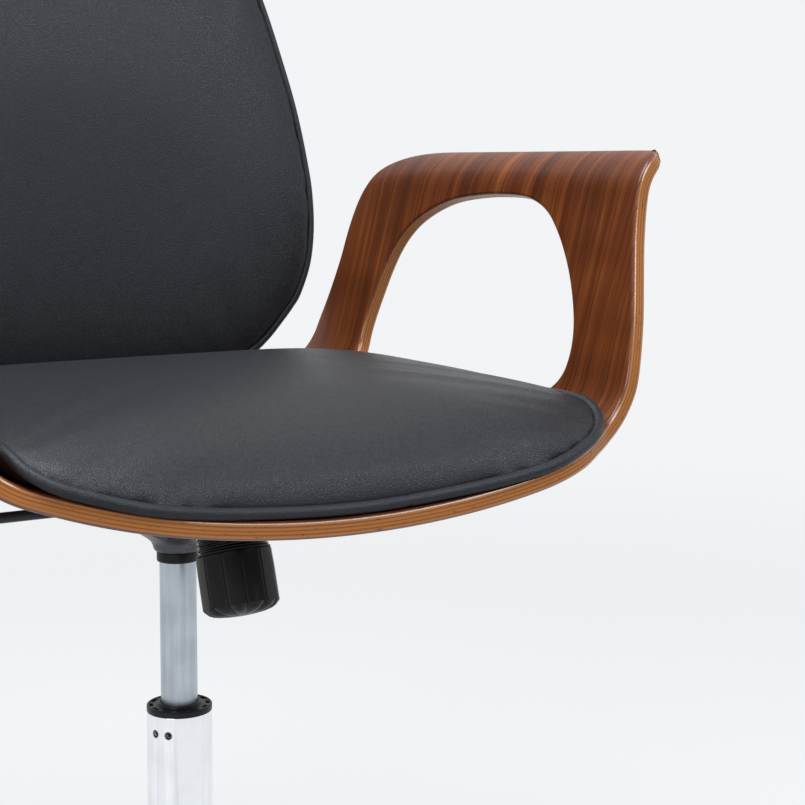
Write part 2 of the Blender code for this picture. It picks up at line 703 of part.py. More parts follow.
curve.materials.append(material("tension_spring_mat", STEEL_DARK, 0.35, 0.9))
place(spring, lift_axis, tuple(KNOB_TOP))
spring.rotation_euler = (-KNOB_TILT, 0.0, 0.0)
least = 1.0
fine = []
for i in range(total_steps * 4 + 1):
    a = 2.0 * math.pi * i / (SPRING_STEPS * 4)
    h = low_end + rise + (high_end - low_end - 2.0 * rise) * i / (total_steps * 4)
    fine.append(Vector((SPRING_R * math.cos(a), SPRING_R * math.sin(a), h)))
for i in range(len(fine)):
    for j in range(i + SPRING_STEPS * 2, len(fine)):
        least = min(least, (fine[i] - fine[j]).length - 2.0 * WIRE_R)
print("tension spring least gap to itself: %.2f mm" % (least * 1000.0))

# Seat plate, bent to the shell, with two ears for the pivot shaft and a boss for the bolt
plate_cuts = [row[0] for row in STATIONS if row[0] < PLATE_HALF_S + 0.001]


plate_outline = [
    (-PLATE_HALF_S, -0.082), (-0.083, -0.100), (0.083, -0.100), (PLATE_HALF_S, -0.082),
    (PLATE_HALF_S, 0.092), (0.083, 0.108), (-0.083, 0.108), (-PLATE_HALF_S, 0.092),
]
plate_flat = prism(plate_outline, -GAP - PLATE_T, -GAP, flat_point)
plate_mesh = bend_part(plate_flat, plate_cuts)
plate_body = as_part(plate_mesh)
plate_top = bend(0.0, 0.0, -GAP).z
plate_under = plate_top - PLATE_T
shell_shift = Matrix.Translation((0.0, -COLUMN_Y, 0.0))
plate_body = moved(plate_body, shell_shift)
ear_outline = [
    (0.028, plate_under + 0.0025), (0.062, plate_under + 0.0025), (0.054, 0.4470), (0.050, 0.4435),
    (0.040, 0.4435), (0.036, 0.4470),
]
steps = []
for side in (-1.0, 1.0):
    x0 = side * EAR_X
    x1 = side * (EAR_X + EAR_T)
    steps.append(("UNION", prism(ear_outline, min(x0, x1), max(x0, x1), side_point)))
steps.append(("UNION", prism([
    along_knob(bolt_top + GAP, -0.0110), along_knob(bolt_top + GAP, 0.0110), (0.0965, plate_under + 0.002),
    (0.0650, plate_under + 0.002),
], -0.0110, 0.0110, side_point)))
steps.append(("DIFFERENCE", shaft_hole))
PLATE_HOLES = [(sx * 0.07875, f) for sx in (-1.0, 1.0) for f in (-0.070, 0.075)]
BRACKET_HOLES = [(0.0, -0.140), (0.0, -0.195)]


def screw_frame(s, forward):
    """Frame on the outer face with Z out of the face, into the shell."""
    p = bend(s, forward, 0.0) + Vector((0.0, -COLUMN_Y, 0.0))
    q = bend(s, forward, 0.01) + Vector((0.0, -COLUMN_Y, 0.0))
    up = (q - p).normalized()
    return Matrix.Translation(p) @ up.to_track_quat("Z", "Y").to_matrix().to_4x4()


def screw_part(head_at, length):
    return turned([
        (0.0, head_at - 0.0026), (0.0040, head_at - 0.0020), (0.0050, head_at), (SCREW_R, head_at),
        (SCREW_R, head_at + length), (0.0, head_at + length),
    ], 10)


for s, forward in PLATE_HOLES:
    steps.append(("DIFFERENCE", moved(rod(SCREW_HOLE, -0.012, 0.004, 10), screw_frame(s, forward))))
plate_final = combined(plate_body, steps)
mesh_object("seat_plate", plate_final, (STEEL_DARK, 0.45, 0.7), seat_axis, column, 35.0)
on_knob_axis("tension_bolt", bolt, (STEEL_BRIGHT, 0.3, 1.0), seat_axis)

# Seat shell
ARM_SCALE = (SHELL_HALF - ARM_ROOT) / ARM_DRAWN


def up_arm(points):
    """The outline with its part beyond the arm's root stretched to the board's half length."""
    return [(ARM_ROOT + (s - ARM_ROOT) * ARM_SCALE if s > ARM_ROOT else s, f) for s, f in points]


half = smooth_loop(up_arm(SEAT_FRONT_EDGE + ARM_TOP_EDGE + ARM_REAR_EDGE), 2, closed=False)
blank_outline = half + [(-p[0], p[1]) for p in reversed(half[1:-1])]
blank = prism(blank_outline, 0.0, PLY, flat_point)
opening_loop = smooth_loop(up_arm(OPENING), 2)
steps = []
for side in (1.0, -1.0):
    one_side = [(side * s, f) for s, f in opening_loop]
    steps.append(("DIFFERENCE", prism(one_side, -0.01, PLY + 0.01, flat_point)))
blank_mesh = combined(blank, steps)
shell_mesh = bend_part(as_part(blank_mesh), [row[0] for row in STATIONS[:-1]])
shell_part = moved(as_part(shell_mesh), shell_shift)
steps = []
for s, forward in PLATE_HOLES + BRACKET_HOLES:
    steps.append(("DIFFERENCE", moved(rod(SCREW_HOLE, -0.004, 0.0095, 10), screw_frame(s, forward))))
mesh_object("seat_shell", combined(shell_part, steps), (WALNUT, 0.35, 0.0), seat_axis, column, 30.0)

for index, (s, forward) in enumerate(PLATE_HOLES):
    screw = moved(screw_part(-GAP - PLATE_T - GAP, 0.0135), screw_frame(s, forward))
    at_column("seat_screw_%d" % (index + 1), screw, (STEEL_BRIGHT, 0.3, 1.0), seat_axis)

# Seat cushion and its piping
PIPE_PATH = [
    (0.000, SEAT_PIPE_FRONT, 0.0), (0.060, 0.2800, 0.0), (0.110, 0.2800, 0.0), (0.145, 0.2790, 0.0),
    (0.172, 0.2735, 0.0), (0.192, 0.2635, 0.0015), (0.204, 0.2500, 0.0065), (0.2095, 0.2330, 0.0140),
    (SEAT_PIPE_SIDE, 0.2100, 0.0180), (SEAT_PIPE_SIDE, 0.1500, 0.0180), (SEAT_PIPE_SIDE, 0.0800, 0.0180),
    (SEAT_PIPE_SIDE, 0.0000, 0.0180), (SEAT_PIPE_SIDE, -0.0800, 0.0170), (0.2095, -0.1350, 0.0150),
    (0.2050, -0.1650, 0.0120), (0.1920, -0.1840, 0.0100), (0.1700, -0.1920, 0.0100),
    (0.1200, -0.1960, 0.0140), (0.0600, -0.2000, 0.0170), (0.0000, SEAT_PIPE_REAR, 0.0180),
]


def seat_pipe_loop():
    half_path = smooth_loop(PIPE_PATH, 6, closed=False)
    full = half_path + [(-p[0], p[1], p[2]) for p in reversed(half_path[1:-1])]
    out = []
    for x, f, lift in full:
        out.append(Vector((x, f, inner_height(x) + PIPE_R + 0.0006 + lift)))
    return out


def loop_tube(points, radius, sides, across_of):
    """Closed tube along a loop; across_of(i) gives the outward direction."""
    verts = []
    n = len(points)
    for i in range(n):
        ahead = (points[(i + 1) % n] - points[i - 1]).normalized()
        outward = across_of(i)
        outward = (outward - ahead * outward.dot(ahead)).normalized()
        up = ahead.cross(outward)
        for k in range(sides):
            a = 2.0 * math.pi * (k + 0.5) / sides
            verts.append(points[i] + outward * (radius * math.cos(a)) + up * (radius * math.sin(a)))
    faces = []
    for i in range(n):
        a = i * sides
        b = ((i + 1) % n) * sides
        for k in range(sides):
            m = (k + 1) % sides
            faces.append((a + k, a + m, b + m, b + k))
    return verts, faces


PIPE_COUNT = 64
seat_loop = even_loop(seat_pipe_loop(), PIPE_COUNT)


def plan_outward(i):
    n = len(seat_loop)
    ahead = seat_loop[(i + 1) % n] - seat_loop[i - 1]
    return Vector((ahead.y, -ahead.x, 0.0)).normalized() * -1.0


OUT_SIGN = 1.0 if plan_outward(0).y > 0.0 else -1.0


def seat_outward(i):
    return plan_outward(i) * OUT_SIGN


pipe = loop_tube(seat_loop, PIPE_R, 6, seat_outward)
pipe_world = [Vector((v.x, -v.y, v.z)) for v in pipe[0]]
new_object("seat_piping", pipe_world, pipe[1], (PAD_BLACK, 0.45, 0.0), seat_axis, column, 60.0)

PAD_COUNT = 52
TOP_RINGS = [0.0, 0.40, 0.65, 0.80, 0.89, 0.95, 0.985, 1.0]
LOW_RINGS = [0.975, 0.75, 0.40, 0.0]
pad_loop_source = [p - seat_outward(i) * (PIPE_R + GAP) for i, p in enumerate(seat_loop)]
pad_loop = even_loop(pad_loop_source, PAD_COUNT)
pad_centre = Vector((0.0, 0.030, 0.0))


def seat_crown(f):
    k = min(max((0.02 - f) / 0.22, 0.0), 1.0)
    return CUSHION_TOP + (CUSHION_REAR_TOP - CUSHION_TOP) * k * k


def ring_pad(loop, top_height, low_height):
    verts = []
    rings = []
    for r in TOP_RINGS:
        if r == 0.0:
            rings.append([len(verts)])
            verts.append(top_height(None, 0.0))
            continue
        rings.append(list(range(len(verts), len(verts) + len(loop))))
        for p in loop:
            verts.append(top_height(p, r))
    for r in LOW_RINGS:
        if r == 0.0:
            rings.append([len(verts)])
            verts.append(low_height(None, 0.0))
            continue
        rings.append(list(range(len(verts), len(verts) + len(loop))))
        for p in loop:
            verts.append(low_height(p, r))
    faces = []
    n = len(loop)
    for k in range(len(rings) - 1):
        a = rings[k]
        b = rings[k + 1]
        for i in range(n):
            j = (i + 1) % n
            if len(a) == 1:
                faces.append((a[0], b[i], b[j]))
            elif len(b) == 1:
                faces.append((a[i], a[j], b[0]))
            else:
                faces.append((a[i], a[j], b[j], b[i]))
    return verts, faces


def seat_top(p, r):
    if p is None:
        return Vector((0.0, -pad_centre.y, seat_crown(pad_centre.y)))
    x = pad_centre.x + (p.x - pad_centre.x) * r
    f = pad_centre.y + (p.y - pad_centre.y) * r
    rise_share = (1.0 - r ** 7.0) ** 0.5
    z = p.z + (seat_crown(f) - p.z) * rise_share
    return Vector((x, -f, z))


def seat_low(p, r):
    if p is None:
        return Vector((0.0, -pad_centre.y, inner_height(0.0) + 0.0005))
    x = pad_centre.x + (p.x - pad_centre.x) * r
    f = pad_centre.y + (p.y - pad_centre.y) * r
    return Vector((x, -f, inner_height(x) + 0.0005))


pad = ring_pad(pad_loop, seat_top, seat_low)
new_object("seat_cushion", pad[0], pad[1], (PAD_BLACK, 0.5, 0.0), seat_axis, column, 60.0)

# Back: shell, cushion and piping in coordinates across, up and forward of the shell's front face
back_up = Vector((0.0, -math.sin(BACK_LEAN), math.cos(BACK_LEAN)))
back_out = Vector((0.0, math.cos(BACK_LEAN), math.sin(BACK_LEAN)))


def back_point(x, v, w):
    depth = BACK_PLAN_R - (BACK_PLAN_R - w) * math.cos(x / BACK_PLAN_R)
    across_x = (BACK_PLAN_R - w) * math.sin(x / BACK_PLAN_R)
    p = Vector((across_x, BACK_FOOT_F, BACK_FOOT_Z)) + back_up * v + back_out * depth
    return Vector((p.x, -p.y, p.z))


def back_loop(inset, count):
    half_fine = smooth_loop(BACK_OUTLINE, 6, closed=False)
    full = half_fine + [(-p[0], p[1]) for p in reversed(half_fine[1:-1])]
    pts = [Vector((p[0], p[1], 0.0)) for p in full]
    n = len(pts)
    out = []
    for i in range(n):
        ahead = (pts[(i + 1) % n] - pts[i - 1]).normalized()
        outward = Vector((ahead.y, -ahead.x, 0.0))
        out.append(pts[i] - outward * inset)
    return even_loop(out, count)


BACK_COUNT = 48
SHELL_RINGS = [0.0, 0.30, 0.55, 0.78, 1.0]
back_centre = Vector((0.0, 0.22, 0.0))


def sheet(loop, w0, w1):
    verts = []
    rings = []
    for w, order in ((w1, SHELL_RINGS), (w0, list(reversed(SHELL_RINGS)))):
        for r in order:
            if r == 0.0:
                rings.append([len(verts)])
                verts.append(back_point(back_centre.x, back_centre.y, w))
                continue
            rings.append(list(range(len(verts), len(verts) + len(loop))))
            for p in loop:
                q = back_centre.lerp(p, r)
                verts.append(back_point(q.x, q.y, w))
    faces = []
    n = len(loop)
    for k in range(len(rings) - 1):
        a = rings[k]
        b = rings[k + 1]
        for i in range(n):
            j = (i + 1) % n
            if len(a) == 1:
                faces.append((a[0], b[i], b[j]))
            elif len(b) == 1:
                faces.append((a[i], a[j], b[0]))
            else:
                faces.append((a[i], a[j], b[j], b[i]))
    return verts, faces


BACK_SCREWS = [(0.0, 0.070), (0.0, 0.150)]
BAR_BACK = -BACK_PLY - 0.0008


def back_frame(x, v):
    p = back_point(x, v, BAR_BACK)
    n = Vector((0.0, -back_out.y, back_out.z))
    return Matrix.Translation(p) @ n.to_track_quat("Z", "Y").to_matrix().to_4x4()


shell_back = sheet(back_loop(0.0, BACK_COUNT), -BACK_PLY, 0.0)
steps = []
for x, v in BACK_SCREWS:
    steps.append(("DIFFERENCE", moved(rod(SCREW_HOLE, -0.004, 0.0088, 10), back_frame(x, v))))
mesh_object("back_shell", combined(shell_back, steps), (WALNUT, 0.35, 0.0), seat_axis, column, 30.0)

BACK_PIPE_R = PIPE_R * 0.85
BACK_PIPE_W = BACK_PIPE_R + 0.0008
BACK_PIPE_INSET = 0.0045
PAD_FLOAT = 0.0007
back_pipe_loop = back_loop(BACK_PIPE_INSET, PIPE_COUNT)
pipe_points = [back_point(p.x, p.y, BACK_PIPE_W) for p in back_pipe_loop]


def back_outward(i):
    n = len(pipe_points)
    ahead = (pipe_points[(i + 1) % n] - pipe_points[i - 1]).normalized()
    side = ahead.cross(Vector((0.0, -back_out.y, back_out.z)))
    return side


pipe = loop_tube(pipe_points, BACK_PIPE_R, 6, back_outward)
new_object("back_piping", pipe[0], pipe[1], (PAD_BLACK, 0.45, 0.0), seat_axis, column, 60.0)

back_pad_loop = back_loop(BACK_PIPE_INSET + BACK_PIPE_R + 0.0005, PAD_COUNT)


def back_top(p, r):
    if p is None:
        return back_point(back_centre.x, back_centre.y, BACK_PAD)
    q = back_centre.lerp(p, r)
    share = (1.0 - r ** 6.0) ** 0.5
    return back_point(q.x, q.y, BACK_PIPE_W + (BACK_PAD - BACK_PIPE_W) * share)


def back_low(p, r):
    if p is None:
        return back_point(back_centre.x, back_centre.y, PAD_FLOAT)
    q = back_centre.lerp(p, r)
    return back_point(q.x, q.y, PAD_FLOAT)


pad = ring_pad(back_pad_loop, back_top, back_low)
new_object("back_cushion", pad[0], pad[1], (PAD_BLACK, 0.5, 0.0), seat_axis, column, 60.0)

# Bent bar that carries the back
bar_low = bend(0.0, 0.0, -GAP).z
BEND_R = 0.035
bar_mid = bar_low - BRACKET_T / 2.0
foot = back_point(0.0, 0.0, BAR_BACK - BRACKET_T / 2.0)
slope = math.tan(BACK_LEAN)
corner_f = -foot.y + (foot.z - bar_mid) * slope
turn_angle = math.pi / 2.0 - BACK_LEAN
tangent = BEND_R * math.tan(turn_angle / 2.0)
centre_f = corner_f + tangent
centre_z = bar_mid + BEND_R
bar_line = [(-0.116, bar_mid, 0.0)]
for i in range(9):
    a = turn_angle * i / 8.0
    bar_line.append((centre_f - BEND_R * math.sin(a), centre_z - BEND_R * math.cos(a), a))
bar_end_v = 0.185
end_f = corner_f - (tangent + bar_end_v) * math.sin(BACK_LEAN)
end_z = bar_mid + (tangent + bar_end_v) * math.cos(BACK_LEAN)
bar_line.append((end_f, end_z, turn_angle))
lower = []
upper = []
for f, z, a in bar_line:
    h = BRACKET_T / 2.0
    lower.append((f - h * math.sin(a), z - h * math.cos(a)))
    upper.append((f + h * math.sin(a), z + h * math.cos(a)))
bar = prism(lower + list(reversed(upper)), -BRACKET_W / 2.0, BRACKET_W / 2.0, side_point)
steps = []
for s, forward in BRACKET_HOLES:
    steps.append(("DIFFERENCE", moved(rod(SCREW_HOLE, -0.015, 0.004, 10), screw_frame(s, forward))))
for x, v in BACK_SCREWS:
    steps.append(("DIFFERENCE", moved(rod(SCREW_HOLE, -0.015, 0.004, 10), back_frame(x, v))))
mesh_object("back_bracket", combined(bar, steps), (STEEL_DARK, 0.4, 0.7), seat_axis, column, 35.0)
for index, (s, forward) in enumerate(BRACKET_HOLES):
    screw = moved(screw_part(-GAP - BRACKET_T - GAP, 0.0155), screw_frame(s, forward))
    at_column("bracket_screw_%d" % (index + 1), screw, (STEEL_BRIGHT, 0.3, 1.0), seat_axis)
for index, (x, v) in enumerate(BACK_SCREWS):
    screw = moved(screw_part(-BRACKET_T - GAP, 0.0145), back_frame(x, v))
    at_column("back_screw_%d" % (index + 1), screw, (STEEL_BRIGHT, 0.3, 1.0), seat_axis)

# Castors, all trailing to the rear
flat_r = WHEEL_R / math.cos(math.pi / WHEEL_SIDES)
across_turn = Matrix.Rotation(math.radians(90.0), 4, "Y")
wheel_outline = [
    (AXLE_R + GAP, 0.0), (flat_r * 0.93, 0.0), (flat_r, 0.0026), (flat_r, WHEEL_W - 0.0026),
    (flat_r * 0.90, WHEEL_W), (AXLE_R + GAP, WHEEL_W - 0.0010),
]
wheel_part = turned(wheel_outline, WHEEL_SIDES, math.pi / WHEEL_SIDES)


def hood_curve(radius, back=False):
    """Points of the hood's arc over the wheels, as forward and height."""
    out = []
    for i in range(HOOD_STEPS + 1):
        a = math.radians(HOOD_START + HOOD_SWEEP * i / HOOD_STEPS)
        out.append((radius * math.cos(a), WHEEL_R + radius * math.sin(a)))
    return list(reversed(out)) if back else out


hood_arc = hood_curve(HOOD_R) + hood_curve(HOOD_INSIDE_R, True)
web_outline = hood_curve(HOOD_R - 0.0010)
web_outline += [(-0.0200, 0.0180), (-0.0080, 0.0130), (0.0080, 0.0130), (0.0200, 0.0180)]
for index, angle in enumerate(LEG_ANGLES):
    label = "castor_%d" % (index + 1)
    sx = LEG_R * math.cos(angle)
    sy = COLUMN_Y + LEG_R * math.sin(angle)
    swivel = pivot(label + "_axis", (sx, sy, 0.0), root)
    stem = turned([
        (0.0, 0.0420), (STEM_R, 0.0420), (STEM_R, 0.0604), (NECK_R, 0.0604), (NECK_R, 0.0612),
        (STEM_R, 0.0612), (STEM_R, 0.0835), (0.0, 0.0845),
    ], 10)
    new_object(label + "_stem", stem[0], stem[1], (STEEL_BRIGHT, 0.3, 1.0), swivel, (sx, sy, 0.0))
    hood = prism(hood_arc, -0.0265, 0.0265, lambda u, v, w: Vector((w, u + TRAIL, v)))
    web = prism(web_outline, -0.0092, 0.0092, lambda u, v, w: Vector((w, u + TRAIL, v)))
    neck = turned([
        (0.0, 0.0300), (NECK_R, 0.0300), (NECK_R, 0.0520), (0.0110, 0.0560), (0.0110, 0.0600), (0.0, 0.0600),
    ], 12)
    hole = rod(STEM_R + GAP, 0.0415, 0.070, 10)
    on_axle = Matrix.Translation((0.0, TRAIL, WHEEL_R)) @ across_turn
    axle_hole = moved(rod(AXLE_R + GAP, -0.03, 0.03, 10), on_axle)
    steps = [("UNION", hood), ("UNION", neck), ("DIFFERENCE", hole), ("DIFFERENCE", axle_hole)]
    hood_mesh = combined(web, steps)
    mesh_object(label + "_hood", hood_mesh, (PLASTIC_BLACK, 0.4, 0.0), swivel, (sx, sy, 0.0), 35.0)
    axle = moved(rod(AXLE_R, -0.0240, 0.0240, 10), on_axle)
    new_object(label + "_axle", axle[0], axle[1], (STEEL_BRIGHT, 0.3, 1.0), swivel, (sx, sy, 0.0))
    spin_axis = pivot(label + "_roll_axis", (sx, sy + TRAIL, WHEEL_R), swivel)
    for side, tag in ((1.0, "left"), (-1.0, "right")):
        spot = Matrix.Rotation(math.radians(90.0) * side, 4, "Y")
        wheel = moved(wheel_part, Matrix.Translation((side * WHEEL_IN, 0.0, 0.0)) @ spot)
        new_object(label + "_wheel_" + tag, wheel[0], wheel[1], (PLASTIC_BLACK, 0.5, 0.0), spin_axis,
                   (sx, sy + TRAIL, WHEEL_R), 25.0)
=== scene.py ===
"""Office chair: a bent walnut seat with arms, a padded seat and back, and a gas lift on five castors.

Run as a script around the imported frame. Each operator makes one piece or one group of like pieces.
"""

import math

import bpy
from bpy.props import FloatProperty, FloatVectorProperty, IntProperty, PointerProperty
from mathutils import Matrix, Vector
from mathutils.kdtree import KDTree


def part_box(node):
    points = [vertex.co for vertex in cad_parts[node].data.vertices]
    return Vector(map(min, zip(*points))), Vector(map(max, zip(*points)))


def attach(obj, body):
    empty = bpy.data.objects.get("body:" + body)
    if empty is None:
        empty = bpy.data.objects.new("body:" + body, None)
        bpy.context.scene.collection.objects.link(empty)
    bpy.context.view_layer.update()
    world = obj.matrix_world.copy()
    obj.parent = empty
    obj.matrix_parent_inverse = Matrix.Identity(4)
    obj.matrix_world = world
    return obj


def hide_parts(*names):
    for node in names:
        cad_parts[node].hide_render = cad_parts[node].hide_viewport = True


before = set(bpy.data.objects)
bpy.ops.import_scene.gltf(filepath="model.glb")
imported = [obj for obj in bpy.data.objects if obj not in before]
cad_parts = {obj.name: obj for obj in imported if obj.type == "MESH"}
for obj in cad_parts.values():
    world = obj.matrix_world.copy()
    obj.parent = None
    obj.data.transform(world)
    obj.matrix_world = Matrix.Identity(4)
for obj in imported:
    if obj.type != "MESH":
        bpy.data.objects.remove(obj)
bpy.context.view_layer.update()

bl_info = {
    "name": "Office Chair",
    "version": (1, 0, 0),
    "blender": (4, 5, 0),
    "location": "View3D > Sidebar > Chair",
    "description": "Models and finishes an office chair with a bent walnut seat",
    "category": "Object",
}

# Places that the frame gives
cylinder_low, cylinder_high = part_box("gas_cylinder")
COLUMN_Y = (cylinder_low.y + cylinder_high.y) / 2.0
COLUMN = Matrix.Translation((0.0, COLUMN_Y, 0.0))
CLEARANCE = 0.0003

# Bent plywood: the outer face's profile from the middle of the seat to the tip of the arm
PLY = 0.012
PLY_LAYER = 0.0024
SHELL_BOTTOM = 0.480
SHELL_ARCS = [(0.6946, math.radians(17.4)), (0.0635, math.radians(73.4)), (3.0, math.radians(74.7))]
FLARE_R = 0.035
FLARE_END = math.radians(20.7)
SHELL_HALF = 0.4431
BEND_CUTS = [(0.015, 0.015, 13), (0.2080, 0.0030, 22), (0.2750, 0.0200, 8), (0.4090, 0.0020, 17)]
FRONT_EDGE = [
    (0.000, 0.284), (0.060, 0.284), (0.110, 0.284), (0.150, 0.2825), (0.180, 0.2750), (0.205, 0.2615),
    (0.225, 0.2515), (0.250, 0.2460), (0.280, 0.2430), (0.315, 0.2350), (0.345, 0.2255), (0.375, 0.2160),
    (0.400, 0.2100), (0.420, 0.2070), (0.434, 0.2035), (0.4410, 0.1970),
]
ARM_TOP_EDGE = [
    (SHELL_HALF, 0.188), (SHELL_HALF, 0.120), (SHELL_HALF, 0.050), (SHELL_HALF, -0.020), (SHELL_HALF, -0.080),
]
REAR_EDGE = [
    (0.4415, -0.110), (0.4365, -0.138), (0.4260, -0.166), (0.4120, -0.183), (0.3950, -0.1925),
    (0.3700, -0.1980), (0.3400, -0.2005), (0.3070, -0.2060), (0.2770, -0.2130), (0.2450, -0.2180),
    (0.2000, -0.2220), (0.1400, -0.2245), (0.0700, -0.225), (0.0000, -0.225),
]
ARM_OPENING = [
    (0.2360, 0.020), (0.2360, 0.070), (0.2365, 0.110), (0.2395, 0.135), (0.2460, 0.152), (0.2580, 0.163),
    (0.2740, 0.169), (0.2900, 0.170), (0.3080, 0.166), (0.3280, 0.157), (0.3480, 0.145), (0.3660, 0.131),
    (0.3795, 0.118), (0.3910, 0.104), (0.3990, 0.088), (0.4040, 0.068), (0.4055, 0.040), (0.4045, 0.005),
    (0.4000, -0.034), (0.3920, -0.062), (0.3810, -0.085), (0.3690, -0.100), (0.3540, -0.1110),
    (0.3340, -0.1190), (0.3110, -0.1245), (0.2880, -0.1285), (0.2700, -0.1285), (0.2550, -0.1230),
    (0.2440, -0.1110), (0.2380, -0.0910), (0.2360, -0.060), (0.2360, -0.020),
]

# Seat pad: the piping's path is (across, forward, height above the plywood)
PIPE_R = 0.004
PIPE_SIDE = 0.2115
PIPE_STEPS = 720
PIPE_SIDES = 20
LAP_STEPS = 9
SEAT_PIPE = [
    (0.000, 0.2800, 0.0), (0.060, 0.2803, 0.0), (0.110, 0.2825, -0.0010), (0.145, 0.2830, -0.0016),
    (0.172, 0.2760, -0.0009), (0.194, 0.2650, 0.0003), (0.2070, 0.2500, 0.0045), (PIPE_SIDE, 0.2330, 0.0100),
    (PIPE_SIDE, 0.2100, 0.0125), (PIPE_SIDE, 0.1500, 0.0120), (PIPE_SIDE, 0.0800, 0.0115),
    (PIPE_SIDE, 0.0000, 0.0115), (PIPE_SIDE, -0.0800, 0.0110), (0.2095, -0.1350, 0.0105),
    (0.2050, -0.1650, 0.0095), (0.1920, -0.1840, 0.0095), (0.1700, -0.1920, 0.0100),
    (0.1200, -0.1960, 0.0140), (0.0600, -0.2000, 0.0170), (0.0000, -0.2010, 0.0180),
]
PAD_TOP = 0.565
PAD_REAR_TOP = 0.5425
PAD_FRONT_DROP = 0.008
PAD_MIDDLE = 0.030
REAR_SLOPE_START = 0.02
REAR_SLOPE_RUN = 0.22
FRONT_SLOPE_START = 0.08
FRONT_SLOPE_RUN = 0.20
SEAT_FULLNESS = 5.5
PAD_UNDER_PIPE = 0.0012
PAD_OVER_PLY = 0.0008
PIPE_OVER_PLY = 0.0006
SEAT_LAP = Vector((0.030, COLUMN_Y - 0.280, 0.496))

# Stuffing of both pads
SWELL_FRAMES = 20
PAD_CAP = 0.024
SKIN_RINGS = 36
SKIN_SIDES = 240

# Back: outline of (across, up), leaning and curved in plan
BACK_FOOT_F = -0.247
BACK_FOOT_Z = 0.500
BACK_LEAN = math.radians(8.5)
BACK_PLAN_R = 0.750
BACK_PLY = 0.010
BACK_PAD = 0.042
BACK_MIDDLE = 0.22
BACK_FULLNESS = 5.0
GRAIN_SHIFT = 0.31
BACK_PIPE_R = PIPE_R * 0.85
BACK_PIPE_OUT = BACK_PIPE_R + 0.0008
BACK_PIPE_INSET = 0.0045
BACK_ROUNDING = 0.0026
BACK_PAD_OVER_PLY = 0.0009
BACK_SEWN_DEPTH = 0.0065
BACK_EDGE = [
    (0.000, 0.012), (0.060, 0.012), (0.120, 0.014), (0.160, 0.022), (0.185, 0.033), (0.200, 0.045),
    (0.213, 0.059), (0.224, 0.072), (0.233, 0.085), (0.244, 0.112), (0.2495, 0.141), (0.251, 0.170),
    (0.2495, 0.200), (0.242, 0.257), (0.2295, 0.315), (0.218, 0.360), (0.204, 0.402), (0.186, 0.442),
    (0.161, 0.480), (0.132, 0.510), (0.098, 0.531), (0.055, 0.545), (0.000, 0.549),
]

# Gas lift and mechanism
TUBE_R = 0.025
TUBE_TOP = 0.2927
COLLAR_TOP = 0.2975
DIMPLE_Z = 0.2793
DIMPLE_ANGLES = (199.0, 225.5)
DIMPLE_R = 0.0030
DIMPLE_OUT = 0.0262
# Painted shade: radius of the near-black spot painted over each dimple in the chrome
DIMPLE_SHADE_R = 0.0034
COLLAR_SLOTS = 12
CYLINDER_R = 0.014
BUSH_FOOT = 0.4090
BUSH_TOP = 0.417
HOUSING_FLOOR = 0.4376
PLATE_THICK = 0.004
SCREW_ACROSS = 0.07875
SOCKET_R = 0.00165
BACK_SHIM = 0.0008
BAR_HALF = 0.028
BAR_THICK = 0.006
BAR_BEND_R = 0.035
KNOB_FORWARD = 0.096
KNOB_Z = 0.433
KNOB_TILT = math.radians(19.0)
KNOB_LOBES = 12
KNOB_CORE_R = 0.012
KNOB_FLATNESS = 0.75
KNOB_END_Z = -0.0385
KNOB_SCALLOP = 0.0026
SEAM_WIDTH = 0.040
SEAM_DEPTH = 0.022
SPRING_R = 0.0248
SPRING_WIRE_R = 0.0011
SPRING_TURNS = 6
SPRING_FOOT = 0.0012 + CLEARANCE
SPRING_HEAD = 0.0235 - CLEARANCE
WASHER_R = 0.0268
KNOB = Matrix.Translation((0.0, COLUMN_Y - KNOB_FORWARD, KNOB_Z)) @ Matrix.Rotation(-KNOB_TILT, 4, "X")
LEVER_Z = 0.4560
ROD_R = 0.0040
LEVER = Matrix.Translation((0.0, COLUMN_Y, LEVER_Z)) @ Matrix.Rotation(math.radians(-90.0), 4, "Y")

# Base and castors
LEG_REACH = 0.275
STEM_BORE_R = 0.0058
STEM_BORE_FOOT = 0.0415
AXLE_BORE_R = 0.0033
LEG_ANGLES = [math.radians(90.0 + 72.0 * i) for i in range(5)]
WHEEL_R = 0.025
WHEEL_IN = 0.0098
TRAIL = 0.019
HOOD_START = 12.0
HOOD_SWEEP = 156.0

# Stage and camera
FLOOR_SIZE = 60.0
ROOM_LIGHT = 0.30
ROOM_COLOUR = (0.93, 0.96, 1.0, 1.0)
SENSOR = 36.0
IMAGE_SIZE = 805.0
FOCAL_PIXELS = 1751.0
VIEW_TURN = math.radians(31.73)
VIEW_PITCH = math.radians(4.64)
VIEW_ROLL = math.radians(0.015)
VIEW_SHIFT = -0.12
EYE_HEIGHT = 0.7099
EYE_SIDE = 0.1714
EYE_AWAY = 1.3155


# Sizes and colours that a user would change
def length_property(name, description, default, low, high):
    return FloatProperty(name=name, description=description, default=default, min=low, max=high,
                         unit="LENGTH")


def colour_property(name, description, default):
    return FloatVectorProperty(name=name, description=description, default=default, min=0.0, max=1.0,
                               subtype="COLOR")


def power_property(name, description, default):
    return FloatProperty(name=name, description=description, default=default, min=0.0, unit="POWER")


